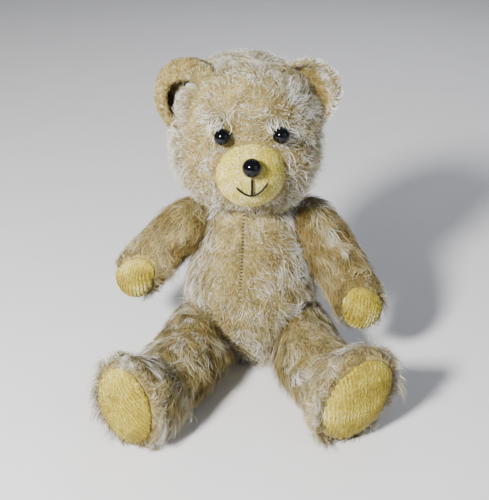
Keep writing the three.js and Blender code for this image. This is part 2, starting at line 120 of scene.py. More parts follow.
def set_ramp(node: bpy.types.Node, stops: list[tuple[float, str]]) -> None:
    """Gives a Color Ramp its stops.

    Args:
        node: the Color Ramp node.
        stops: places from 0 to 1 and their hex colours.
    """
    elements = node.color_ramp.elements
    while len(elements) > 1:
        elements.remove(elements[-1])
    elements[0].position, elements[0].color = stops[0][0], linear(stops[0][1])
    for place, code in stops[1:]:
        elements.new(place).color = linear(code)


@dataclass(frozen=True)
class Finish:
    """What every finish shares: a name, and how its shader is set."""

    name: str
    roughness: float = 0.8
    metallic: float = 0.0
    sheen: float = 0.0
    sheen_tint: str = "#ffffff"
    specular: float = 0.5

    def build(self) -> bpy.types.Material:
        """Makes the material once, and returns it."""
        made = bpy.data.materials.get(self.name)
        if made:
            return made
        made = bpy.data.materials.new(self.name)
        made.use_nodes = True
        tree = made.node_tree
        shader = tree.nodes["Principled BSDF"]
        values = {
            "Roughness": self.roughness,
            "Metallic": self.metallic,
            "Sheen Weight": self.sheen,
            "Sheen Roughness": SHEEN_SPREAD,
            "Sheen Tint": linear(self.sheen_tint),
            "Specular IOR Level": self.specular,
        }
        for socket, value in values.items():
            shader.inputs[socket].default_value = value
        self.dress(tree, shader)
        return made

    def dress(self, tree: bpy.types.NodeTree, shader: bpy.types.Node) -> None:
        """Adds the finish's own colour and bump nodes.

        Args:
            tree: the material's node tree.
            shader: its main shader.
        """
        raise NotImplementedError


@dataclass(frozen=True)
class Pile(Finish):
    """Dyed pile fibre: darker and richer at its root, from its dye and from painted shade down among the
    fibres, bleached towards its tip.

    The piece's own map says which fibre it is: across is how faded, up is from root to tip.
    """

    slot: str = ""  # the record's material slot
    roots: tuple[tuple[float, str], ...] = ()
    tips: tuple[tuple[float, str], ...] = ()
    # The root's colour holds the dye and painted shade among the fibres; this stretches it up each fibre.
    hold: float = 1.4  # above 1, the root's colour reaches further up

    def dress(self, tree: bpy.types.NodeTree, shader: bpy.types.Node) -> None:
        """Mixes a root colour and a tip colour along each fibre.

        Args:
            tree: the material's node tree.
            shader: its main shader.
        """
        place = add_node(tree, "ShaderNodeUVMap", {"uv_map": UV_NAME}, {})
        parts = add_node(tree, "ShaderNodeSeparateXYZ", {}, {"Vector": place.outputs["UV"]})
        root = add_node(tree, "ShaderNodeValToRGB", {}, {"Fac": parts.outputs["X"]})
        tip = add_node(tree, "ShaderNodeValToRGB", {}, {"Fac": parts.outputs["X"]})
        set_ramp(root, list(self.roots))
        set_ramp(tip, list(self.tips))
        # The power keeps the dark root colour, partly painted shade, further up each fibre.
        power = {"operation": "POWER", "=1": self.hold}
        height = add_node(tree, "ShaderNodeMath", power, {0: parts.outputs["Y"]})
        colours = {0: height.outputs[0], 6: root.outputs["Color"], 7: tip.outputs["Color"]}
        mix = add_node(tree, "ShaderNodeMix", {"data_type": "RGBA"}, colours)
        tree.links.new(mix.outputs[2], shader.inputs["Base Color"])


@dataclass(frozen=True)
class Woven(Finish):
    """Cotton backing cloth with a rubbed nap: a plain weave under patchy dye."""

    tones: tuple[tuple[float, str], ...] = ()
    patch_mm: float = 14.0
    thread_mm: float = 0.9  # drawn coarser than the real 0.5 so that it shows
    bump: float = 0.35

    def dress(self, tree: bpy.types.NodeTree, shader: bpy.types.Node) -> None:
        """Colours the cloth in soft patches, paints shade into the hollows of its nap and raises its
        threads.

        Args:
            tree: the material's node tree.
            shader: its main shader.
        """
        place = add_node(tree, "ShaderNodeTexCoord", {}, {}).outputs["Object"]
        broad = {"=Scale": 1 / (self.patch_mm * MM), "=Detail": 5.0, "=Roughness": 0.62}
        patch = add_node(tree, "ShaderNodeTexNoise", broad, {"Vector": place})
        fine = {"=Scale": 1 / (1.3 * self.thread_mm * MM), "=Detail": 3.0}
        nap = add_node(tree, "ShaderNodeTexNoise", fine, {"Vector": place})
        # Painted shade: the nap darkens the colour in the same hollows where it lowers the bump.
        both = {0: nap.outputs["Fac"], 2: patch.outputs["Fac"]}
        nap_shade_and_patch = add_node(tree, "ShaderNodeMath", {"operation": "MULTIPLY_ADD", "=1": NAP_SHADE_SHARE}, both)
        less = {"operation": "SUBTRACT", "=1": NAP_SHADE_MEAN}
        shift = add_node(tree, "ShaderNodeMath", less, {0: nap_shade_and_patch.outputs[0]})
        tone = add_node(tree, "ShaderNodeValToRGB", {}, {"Fac": shift.outputs[0]})
        set_ramp(tone, list(self.tones))
        tree.links.new(tone.outputs["Color"], shader.inputs["Base Color"])
        uneven = {"=Distortion": 2.5, "=Detail": 2.0, "=Detail Scale": 1.5}
        wave = {"=Scale": BAND / (self.thread_mm * MM), **uneven}
        warp, weft = (
            add_node(tree, "ShaderNodeTexWave", {"bands_direction": axis, **wave}, {"Vector": place})
            for axis in ("X", "Z")
        )
        crossed = {0: warp.outputs["Fac"], 1: weft.outputs["Fac"]}
        weave = add_node(tree, "ShaderNodeMath", {"operation": "MAXIMUM"}, crossed)
        raised = {0: weave.outputs[0], 1: nap.outputs["Fac"]}
        height = add_node(tree, "ShaderNodeMath", {"operation": "ADD"}, raised)
        relief = {"=Strength": self.bump, "=Distance": 0.4 * MM}
        bump = add_node(tree, "ShaderNodeBump", relief, {"Height": height.outputs[0]})
        tree.links.new(bump.outputs["Normal"], shader.inputs["Normal"])


@dataclass(frozen=True)
class Smooth(Finish):
    """A hard or spun finish: two close tones in a fine grain, with a slight relief."""

    light: str = "#888888"
    dark: str = "#777777"
    grain_mm: float = 2.0
    stretch: tuple[float, float, float] = (1.0, 1.0, 1.0)
    bump: float = 0.1
    relief_mm: float = 0.1

    def dress(self, tree: bpy.types.NodeTree, shader: bpy.types.Node) -> None:
        """Mixes the two tones by the grain and raises it a little.

        Args:
            tree: the material's node tree.
            shader: its main shader.
        """
        place = add_node(tree, "ShaderNodeTexCoord", {}, {}).outputs["Object"]
        aligned = add_node(tree, "ShaderNodeMapping", {"=Scale": self.stretch}, {"Vector": place})
        fine = {"=Scale": 1 / (self.grain_mm * MM), "=Detail": 4.0, "=Roughness": 0.6}
        grain = add_node(tree, "ShaderNodeTexNoise", fine, {"Vector": aligned.outputs["Vector"]})
        tone = add_node(tree, "ShaderNodeValToRGB", {}, {"Fac": grain.outputs["Fac"]})
        set_ramp(tone, [(0.3, self.dark), (0.7, self.light)])
        tree.links.new(tone.outputs["Color"], shader.inputs["Base Color"])
        relief = {"=Strength": self.bump, "=Distance": self.relief_mm * MM}
        bump = add_node(tree, "ShaderNodeBump", relief, {"Height": grain.outputs["Fac"]})
        tree.links.new(bump.outputs["Normal"], shader.inputs["Normal"])


# Mohair: dyed gold once, sun-bleached to silver at the tips, with a soft lustre.
MOHAIR = Pile(
    "aged mohair pile",
    roughness=0.5,
    sheen=0.12,
    sheen_tint="#fff6e4",
    specular=0.35,
    slot="mohair",
    # The dark roots are the dye's deep colour with painted shade among the fibres.
    roots=((0.0, "#38290f"), (0.35, "#584b27"), (0.7, "#6a6044"), (1.0, "#86806e")),
    tips=((0.0, "#8a702c"), (0.35, "#b5a260"), (0.65, "#cdc298"), (0.85, "#e8e4d2"), (1.0, "#fffffc")),
)
# Cotton velvet plush: short upright pile that shines where it is rubbed down; on the pads that sheen is
# painted into its colour.
PLUSH = Pile(
    "rubbed cotton plush pile",
    roughness=0.4,
    sheen=0.05,
    sheen_tint="#fff7cf",
    specular=0.38,
    slot="plush",
    # The dark roots are the dye's deep colour with painted shade among the fibres.
    roots=((0.0, "#4a3b04"), (0.4, "#6f5e0c"), (0.75, "#8f8028"), (1.0, "#b3a95e")),
    tips=((0.0, "#8d7208"), (0.35, "#b5a01a"), (0.7, "#dccd4c"), (1.0, "#fff7c4")),
)
# Woven backing that the mohair has worn away from: matt, golden, a little grubby, with painted shade in
# the hollows of its nap.
BACKING = Woven(
    "worn woven mohair backing",
    roughness=0.92,
    sheen=0.15,
    tones=((0.25, "#43371a"), (0.45, "#6a5b2c"), (0.6, "#8e7d43"), (0.8, "#aa9b64")),
)
# Velvet ground under the pads' pile.
VELVET = Woven(
    "plush pad ground",
    roughness=0.8,
    sheen=0.3,
    tones=((0.25, "#6f6012"), (0.5, "#978722"), (0.75, "#b5a742")),
    patch_mm=9.0,
)
# Cast phenolic buttons: jet black, polished, a near-mirror highlight.
JET = Smooth(
    "polished black button", roughness=0.06, specular=0.28, light="#08080a", dark="#040405",
    grain_mm=5.0, bump=0.01,
)
# Waxed linen thread: black, a dull lustre along the twist.
WAXED = Smooth(
    "waxed black linen thread", roughness=0.6, specular=0.2, light="#0d0c0d", dark="#050505",
    grain_mm=0.5, bump=0.4,
)
# Cotton sewing thread: brown with grime, matt.
COTTON = Smooth(
    "brown cotton sewing thread", roughness=0.85, light="#44341f", dark="#261b0f", grain_mm=0.5,
    bump=0.4,
)
# Hardboard discs: pressed fibre, matt, mottled brown.
HARDBOARD = Smooth(
    "pressed hardboard", roughness=0.85, light="#8f6b44", dark="#6d4d2e", grain_mm=1.2, bump=0.3,
)
# Zinc-plated steel: washers and cotter pins, satin grey with drawn streaks.
ZINC = Smooth(
    "zinc plated steel", roughness=0.34, metallic=1.0, light="#b4b6ba", dark="#8f9196",
    grain_mm=0.8, stretch=(1.0, 1.0, 6.0), bump=0.05,
)
# Wood wool: fine curled pine shavings packed hard.
WOOD_WOOL = Smooth(
    "packed wood wool", roughness=0.9, light="#d8c193", dark="#a98d5c", grain_mm=1.5,
    stretch=(1.0, 0.3, 1.0), bump=0.8, relief_mm=0.6,
)


# ---------------------------------------------------------------------------------------------
# Shapes


def unit(vectors: np.ndarray) -> np.ndarray:
    """Each row at length 1."""
    return vectors / np.maximum(np.linalg.norm(vectors, axis=-1, keepdims=True), 1e-9)


def numbers(values: object, attribute: str, width: int = 3) -> np.ndarray:
    """Reads an attribute of every item of a Blender collection.

    Args:
        values: the collection.
        attribute: the attribute's name.
        width: how many numbers each item has.

    Returns:
        One row per item.
    """
    flat = np.empty(len(values) * width, np.float32)
    values.foreach_get(attribute, flat)
    return flat.reshape(-1, width).astype(float)


def shown(name: str, mesh: bpy.types.Mesh, finish: Finish, smooth: bool = True) -> bpy.types.Object:
    """Puts a mesh in the scene as a piece with its finish.

    Args:
        name: the piece's name.
        mesh: its mesh, already in place.
        finish: its finish.
        smooth: whether its faces shade smoothly.

    Returns:
        The new object.
    """
    mesh.name = name
    mesh.materials.clear()
    mesh.materials.append(finish.build())
    mesh.polygons.foreach_set("use_smooth", [smooth] * len(mesh.polygons))
    piece = bpy.data.objects.new(name, mesh)
    bpy.context.scene.collection.objects.link(piece)
    return piece


def settled(name: str, bm: bmesh.types.BMesh, modifiers: list[tuple[str, dict]]) -> bpy.types.Mesh:
    """Turns a bmesh into a mesh with modifiers applied to it.

    Args:
        name: the mesh's name.
        bm: the bmesh, which is freed.
        modifiers: each modifier's type and settings, in order.

    Returns:
        The finished mesh.
    """
    mesh = bpy.data.meshes.new(name)
    bm.to_mesh(mesh)
    bm.free()
    if not modifiers:
        return mesh
    holder = bpy.data.objects.new(name, mesh)
    bpy.context.scene.collection.objects.link(holder)
    for kind, settings in modifiers:
        modifier = holder.modifiers.new(kind.title(), kind)
        for key, value in settings.items():
            setattr(modifier, key, value)
    graph = bpy.context.evaluated_depsgraph_get()
    result = bpy.data.meshes.new_from_object(holder.evaluated_get(graph))
    bpy.data.objects.remove(holder)
    bpy.data.meshes.remove(mesh)
    return result


def keep_largest(bm: bmesh.types.BMesh) -> None:
    """Deletes all but the island with the most vertices.

    Args:
        bm: the bmesh, which is changed.
    """
    left = set(bm.verts)
    islands = []
    while left:
        start = left.pop()
        island, edge = {start}, [start]
        while edge:
            vert = edge.pop()
            for link in vert.link_edges:
                other = link.other_vert(vert)
                if other in left:
                    left.discard(other)
                    island.add(other)
                    edge.append(other)
        islands.append(island)
    islands.sort(key=len, reverse=True)
    spare = [vert for island in islands[1:] for vert in island]
    bmesh.ops.delete(bm, geom=spare, context="VERTS")


def rounded_solid(nodes: list[str], voxel: float, passes: int) -> bmesh.types.BMesh:
    """One smooth closed skin round some of the frame's nodes.

    Args:
        nodes: the nodes that it wraps, such as a cover, its pads and its stuffing.
        voxel: the mesh's grain in millimetres.
        passes: how many times it is smoothed.

    Returns:
        The skin as a bmesh.
    """
    bm = bmesh.new()
    for node in nodes:
        bm.from_mesh(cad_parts[node].data)
    bmesh.ops.remove_doubles(bm, verts=bm.verts, dist=0.01 * MM)
    mesh = settled(nodes[0], bm, [("REMESH", {"mode": "VOXEL", "voxel_size": voxel * MM})])
    bm = bmesh.new()
    bm.from_mesh(mesh)
    bpy.data.meshes.remove(mesh)
    keep_largest(bm)
    for _ in range(passes):
        bmesh.ops.smooth_vert(
            bm, verts=bm.verts, factor=0.5, use_axis_x=True, use_axis_y=True, use_axis_z=True
        )
    return bm


def cut(bm: bmesh.types.BMesh, point: Vector, normal: Vector) -> bmesh.types.BMesh:
    """Keeps what lies behind a plane, closed where it was cut.

    Args:
        bm: the shape, which is left alone.
        point: a point of the plane.
        normal: the side that is taken off.

    Returns:
        A new bmesh.
    """
    kept = bm.copy()
    found = bmesh.ops.bisect_plane(
        kept,
        geom=list(kept.verts) + list(kept.edges) + list(kept.faces),
        dist=1e-6,
        plane_co=point,
        plane_no=normal,
        clear_outer=True,
    )
    rim = [item for item in found["geom_cut"] if isinstance(item, bmesh.types.BMEdge)]
    bmesh.ops.holes_fill(kept, edges=rim)
    return kept


def in_order(bm: bmesh.types.BMesh) -> bmesh.types.BMesh:
    """Rebuilds a shape with its vertices and faces in the order of their places.

    A sphere or a spin has its faces in another order each run, and seeded pile would then
    fall differently on them.

    Args:
        bm: the shape, which is freed.

    Returns:
        The same shape, in an order that is the same each run.
    """
    verts = sorted(bm.verts, key=lambda vert: tuple(vert.co))
    rank = {vert: i for i, vert in enumerate(verts)}
    loops = []
    for face in bm.faces:
        loop = [rank[vert] for vert in face.verts]
        first = loop.index(min(loop))
        loops.append(loop[first:] + loop[:first])
    ordered = bmesh.new()
    made = [ordered.verts.new(vert.co) for vert in verts]
    for loop in sorted(loops):
        ordered.faces.new([made[i] for i in loop])
    bm.free()
    return ordered


# ---------------------------------------------------------------------------------------------
# Pile


class Drift:
    """A smooth, seeded field of directions, as a sum of waves."""

    WAVES = 5

    def __init__(self, seed: int, wavelength: float) -> None:
        """Draws the waves.

        Args:
            seed: the field's seed.
            wavelength: its grain in millimetres.
        """
        rng = np.random.default_rng(seed)
        self.turns = rng.normal(size=(3, self.WAVES, 3)) * (2 * math.pi / wavelength) / 1.7
        self.phase = rng.uniform(0, 2 * math.pi, (3, self.WAVES))

    def at(self, points: Points) -> np.ndarray:
        """The field at some points, each part from about -1 to 1."""
        parts = [
            np.sin(points @ self.turns[k].T + self.phase[k]).sum(1) / math.sqrt(self.WAVES)
            for k in range(3)
        ]
        return np.clip(np.stack(parts, 1), -1.5, 1.5)


def near(points: Points, centre: Sequence[float], reach: Sequence[float]) -> np.ndarray:
    """How near each point is to a place: 1 there, falling smoothly to 0 about two reaches away."""
    away = ((points - np.array(centre)) / np.array(reach)) ** 2
    return np.exp(-1.6 * away.sum(1))


def ramp(values: np.ndarray, low: float, high: float) -> np.ndarray:
    """A smooth step from 0 at low to 1 at high."""
    t = np.clip((values - low) / (high - low), 0, 1)
    return t * t * (3 - 2 * t)


def ribs(values: np.ndarray, pitch: float) -> np.ndarray:
    """Even ribs from 0 to 1, a pitch apart."""
    return 0.5 + 0.5 * np.sin(2 * math.pi * values / pitch)


def even(points: Points, *_: Points) -> np.ndarray:
    """1 everywhere."""
    return np.ones(len(points))


@dataclass
class Coat:
    """One coat of pile on one piece: how it grows, lies and fades."""

    name: str
    body: str
    finish: Pile
    seed: int
    fade: Field
    comb: Flow
    per_cm2: float  # fibres drawn on a square centimetre where it is thickest
    length: float
    width: float
    lift: float  # share of the length that stands up from the cloth
    clump: float  # how far tips gather into locks
    lock_mm: float  # how far apart the locks are
    droop: float
    wave: float
    density: Flow = even
    growth: Field = even
    scatter: float = 0.25  # how unevenly neighbours lie
    bends: int = 4  # straight stretches in each fibre
    spread: float = 0.1  # how far fibres of one lock differ in fade
    mottle: float = 0.14  # how far whole locks differ in fade
    ragged: float = 0.2  # how far whole locks differ in length

    @property
    def stations(self) -> np.ndarray:
        """Where each fibre bends, from its root at 0 to its tip at 1."""
        return np.linspace(0, 1, self.bends + 1)

    def roots(self, skin: bpy.types.Mesh, rng: np.random.Generator) -> tuple[Points, Points]:
        """Draws roots evenly over a skin, then thins them where the coat is worn.

        Args:
            skin: the mesh that it grows on.
            rng: the coat's random numbers.

        Returns:
            The roots in millimetres and the skin's normals there.
        """
        skin.calc_loop_triangles()
        corners = np.empty(len(skin.loop_triangles) * 3, np.int32)
        skin.loop_triangles.foreach_get("vertices", corners)
        corners = corners.reshape(-1, 3)
        place = numbers(skin.vertices, "co") / MM
        normal = numbers(skin.vertices, "normal")
        a, b, c = (place[corners[:, k]] for k in range(3))
        area = np.linalg.norm(np.cross(b - a, c - a), axis=1) / 2
        total = int(area.sum() / 100 * self.per_cm2)
        pick = rng.choice(len(area), size=total, p=area / area.sum())
        s, t = rng.random(total), rng.random(total)
        flip = s + t > 1
        s[flip], t[flip] = 1 - s[flip], 1 - t[flip]
        weights = np.stack([1 - s - t, s, t], 1)[:, :, None]
        points = (place[corners[pick]] * weights).sum(1)
        normals = unit((normal[corners[pick]] * weights).sum(1))
        keep = rng.random(total) < self.density(points, normals)
        return points[keep], normals[keep]

    def paths(self, points: Points, normals: Points, rng: np.random.Generator) -> np.ndarray:
        """The line that each fibre follows from root to tip.

        Args:
            points: the roots.
            normals: the skin's normals at the roots.
            rng: the coat's random numbers.

        Returns:
            The bends of each fibre, root and tip among them.
        """
        count = len(points)
        lay = unit(self.comb(points, normals))
        lay = unit(lay - (lay * normals).sum(1, keepdims=True) * normals)
        aside = np.cross(normals, lay)
        swing = rng.normal(0, self.scatter, (count, 1))
        lay = unit(lay + aside * swing)
        aside = np.cross(normals, lay)
        length = self.length * self.growth(points) * rng.uniform(0.7, 1.15, count)
        lift = np.clip(self.lift * rng.uniform(0.6, 1.4, count), 0.05, 0.95)
        bend = rng.normal(0, self.wave, count)
        phase = rng.uniform(0, 2 * math.pi, count)
        line = np.empty((count, self.bends + 1, 3))
        for k, t in enumerate(self.stations):
            up = lift * (1.25 * t - 0.5 * t * t)
            along = np.sqrt(1 - lift**2) * (0.75 * t + 0.25 * t * t)
            sway = bend * t * np.sin(phase + 3.2 * t)
            step = normals * up[:, None] + lay * along[:, None] + aside * sway[:, None]
            step[:, 2] -= self.droop * t * t
            line[:, k] = points - normals * ROOT_DEPTH + step * length[:, None]
        return line

    def gather(
        self, points: Points, line: np.ndarray, rng: np.random.Generator
    ) -> tuple[np.ndarray, np.ndarray]:
        """Draws neighbouring tips together into locks of uneven length.

        Args:
            points: the roots.
            line: each fibre's line.
            rng: the coat's random numbers.

        Returns:
            The lines, gathered, and how much each fibre's lock is faded.
        """
        locks = max(1, int(len(points) * min(1.0, 100 / (self.per_cm2 * self.lock_mm**2))))
        leaders = rng.choice(len(points), size=locks, replace=False)
        tree = kdtree.KDTree(locks)
        for i, leader in enumerate(leaders):
            tree.insert(points[leader], i)
        tree.balance()
        lock = np.array([tree.find(p)[1] for p in points])
        lead = leaders[lock]
        reach = np.clip(rng.normal(1, self.ragged, locks), *LOCK_LENGTHS)[lock]
        line = points[:, None] + (line - points[:, None]) * reach[:, None, None]
        pull = self.clump * rng.uniform(0.55, 1.0, len(points))
        leader = line[lead].copy()
        for k, t in enumerate(self.stations):
            share = (pull * t**1.2)[:, None]
            line[:, k] += (leader[:, k] - line[:, k]) * share
        return line, rng.normal(0, self.mottle, locks)[lock]

    def grow(self, skin: bpy.types.Object) -> bpy.types.Object:
        """Grows the coat on a skin.

        Args:
            skin: the piece that it grows on.

        Returns:
            The coat as one piece.
        """
        rng = np.random.default_rng(self.seed)
        points, normals = self.roots(skin.data, rng)
        line, shade = self.gather(points, self.paths(points, normals, rng), rng)
        count, bends = len(points), self.bends
        along = unit(line[:, -1] - line[:, 0])
        aside = unit(np.cross(along, normals))
        roll = rng.uniform(-0.8, 0.8, (count, 1))
        aside = aside * np.cos(roll) + np.cross(along, aside) * np.sin(roll)
        half = aside * (self.width * rng.uniform(0.7, 1.3, (count, 1)) / 2)
        verts = np.empty((count, 2 * bends + 1, 3))
        for k, t in enumerate(self.stations[:-1]):
            taper = 1 - 0.6 * t * t
            verts[:, 2 * k] = line[:, k] - half * taper
            verts[:, 2 * k + 1] = line[:, k] + half * taper
        verts[:, -1] = line[:, -1]
        verts[:, :, 2] = np.maximum(verts[:, :, 2], FLOOR_CLEAR)
        fade = np.clip(self.fade(points) + shade + rng.normal(0, self.spread, count), 0.02, 0.98)
        mesh = ribbons(self.name, verts * MM, fade, self.stations)
        coat = shown(self.name, mesh, self.finish)
        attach(coat, self.body)
        LOG.info("%s: %d fibres", self.name, count)
        return coat


def ribbons(name: str, verts: np.ndarray, fade: np.ndarray, stations: np.ndarray) -> bpy.types.Mesh:
    """One mesh of tapered ribbons, which no operator makes, with the map that colours them.

    Args:
        name: the mesh's name.
        verts: each ribbon's corners in metres: a pair at each bend, and its tip.
        fade: each ribbon's place across the map.
        stations: each pair's and the tip's place up the map.

    Returns:
        The mesh.
    """
    count, corners = verts.shape[:2]
    bends = len(stations) - 1
    quads = [[2 * k, 2 * k + 1, 2 * k + 3, 2 * k + 2] for k in range(bends - 1)]
    cell = np.array(sum(quads, []) + [corners - 3, corners - 2, corners - 1])
    starts = 4 * np.arange(bends)
    mesh = bpy.data.meshes.new(name)
    mesh.vertices.add(count * corners)
    mesh.vertices.foreach_set("co", verts.astype(np.float32).ravel())
    mesh.loops.add(count * len(cell))
    loops = (np.arange(count)[:, None] * corners + cell).astype(np.int32)
    mesh.loops.foreach_set("vertex_index", loops.ravel())
    mesh.polygons.add(count * bends)
    begin = (np.arange(count)[:, None] * len(cell) + starts).astype(np.int32)
    mesh.polygons.foreach_set("loop_start", begin.ravel())
    side = np.append(np.tile([-1, 1], bends), 0)
    height = np.append(np.repeat(stations[:-1], 2), stations[-1])
    u = fade[:, None] + side[cell] * MAP_HALF
    v = np.broadcast_to(0.02 + 0.96 * height[cell], u.shape)
    layer = mesh.uv_layers.new(name=UV_NAME)
    layer.data.foreach_set("uv", np.stack([u, v], 2).astype(np.float32).ravel())
    mesh.update(calc_edges=True)
    mesh.validate()
    return mesh


def away_from(things: list[bpy.types.Object], reach: float) -> Field:
    """Keeps roots off other pieces.

    Args:
        things: the pieces.
        reach: how close a root may be, in millimetres.

    Returns:
        A field that is 0 within reach of a piece and 1 elsewhere.
    """
    places = np.vstack([numbers(thing.data.vertices, "co") / MM for thing in things])
    tree = kdtree.KDTree(len(places))
    for i, place in enumerate(places):
        tree.insert(place, i)
    tree.balance()

    def clear(points: Points) -> np.ndarray:
        """1 where a point is clear of the pieces."""
        return np.array([float(tree.find(p)[2] > reach) for p in points])

    return clear


# ---------------------------------------------------------------------------------------------
# The bear's sub-assemblies


class Side(Enum):
    """The bear's own right or left, and the sign of x there."""

    RIGHT = -1
    LEFT = 1

    @property
    def word(self) -> str:
        """The side's name as the frame's nodes have it."""
        return self.name.lower()


@dataclass(frozen=True)
class Joint:
    """A joint plane: a point on it, and its direction out of the body."""

    at: tuple[float, float, float]
    out: tuple[float, float, float]

    @property
    def axis(self) -> np.ndarray:
        """The direction at length 1."""
        return unit(np.array(self.out, float))

    def above(self, points: Points) -> np.ndarray:
        """How far each point is out of the body from the plane, in millimetres."""
        return (points - np.array(self.at)) @ self.axis

    def aside(self, points: Points) -> np.ndarray:
        """How far each point is from the joint's axis, in millimetres."""
        away = points - np.array(self.at)
        return np.linalg.norm(away - (away @ self.axis)[:, None] * self.axis, axis=1)


NECK = Joint((0, 0, 150), (0, 0, 1))
SHOULDERS = {
    Side.RIGHT: Joint((-35.5, 1, 121), (-0.951, 0, 0.309)),
    Side.LEFT: Joint((35.5, 1, 121), (0.951, 0, 0.309)),
}
HIPS = {
    Side.RIGHT: Joint((-24, -10, 35.2), (-0.906, 0, -0.423)),
    Side.LEFT: Joint((24, -10, 35.2), (0.906, 0, -0.423)),
}
LIMB_JOINTS = (*SHOULDERS.values(), *HIPS.values())
PRESSED = 15.0  # how far from a joint's axis its two faces press the pile away
HEAD_MIDDLE = np.array([-4.0, -4.0, 0.0])
HEAD_TURN = math.radians(4)


def on_head(x: float, y: float, z: float) -> Vector:
    """A place of the head's own frame, in metres: the origin is under its middle."""
    turned = Matrix.Rotation(HEAD_TURN, 3, "Z") @ Vector((x, y, z))
    return (turned + Vector(HEAD_MIDDLE)) * MM


def seat(piece: bpy.types.Object, body: str, slot: str, *nodes: str) -> bpy.types.Object:
    """Says what a piece rides on and which nodes it stands for, and hides those nodes.

    Args:
        piece: the piece.
        body: the frame's body that it rides on.
        slot: the record's material slot; not used.
        nodes: the frame's nodes that it stands for.

    Returns:
        The same piece.
    """
    if nodes:
        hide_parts(*nodes)
    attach(piece, body)
    LOG.info("%s: %d faces", piece.name, len(piece.data.polygons))
    return piece


def add_tube(bm: bmesh.types.BMesh, line: list[Vector], radius: float, sides: int = 6) -> None:
    """Adds a round-ended thread along a line.

    Args:
        bm: the bmesh that it joins.
        line: the points that it follows, in metres.
        radius: its radius in metres.
        sides: how many sides its section has.
    """
    before = None
    for i, point in enumerate(line):
        ahead = (line[min(i + 1, len(line) - 1)] - line[max(i - 1, 0)]).normalized()
        turn = Vector((0, 0, 1)).rotation_difference(ahead).to_matrix().to_4x4()
        end = 0.45 if i in (0, len(line) - 1) else 1.0
        ring = bmesh.ops.create_circle(
            bm, segments=sides, radius=radius * end, matrix=Matrix.Translation(point) @ turn
        )["verts"]
        edges = list({edge for vert in ring for edge in vert.link_edges})
        if before:
            bmesh.ops.bridge_loops(bm, edges=before + edges)
        if i in (0, len(line) - 1):
            bmesh.ops.contextual_create(bm, geom=edges)
        before = edges


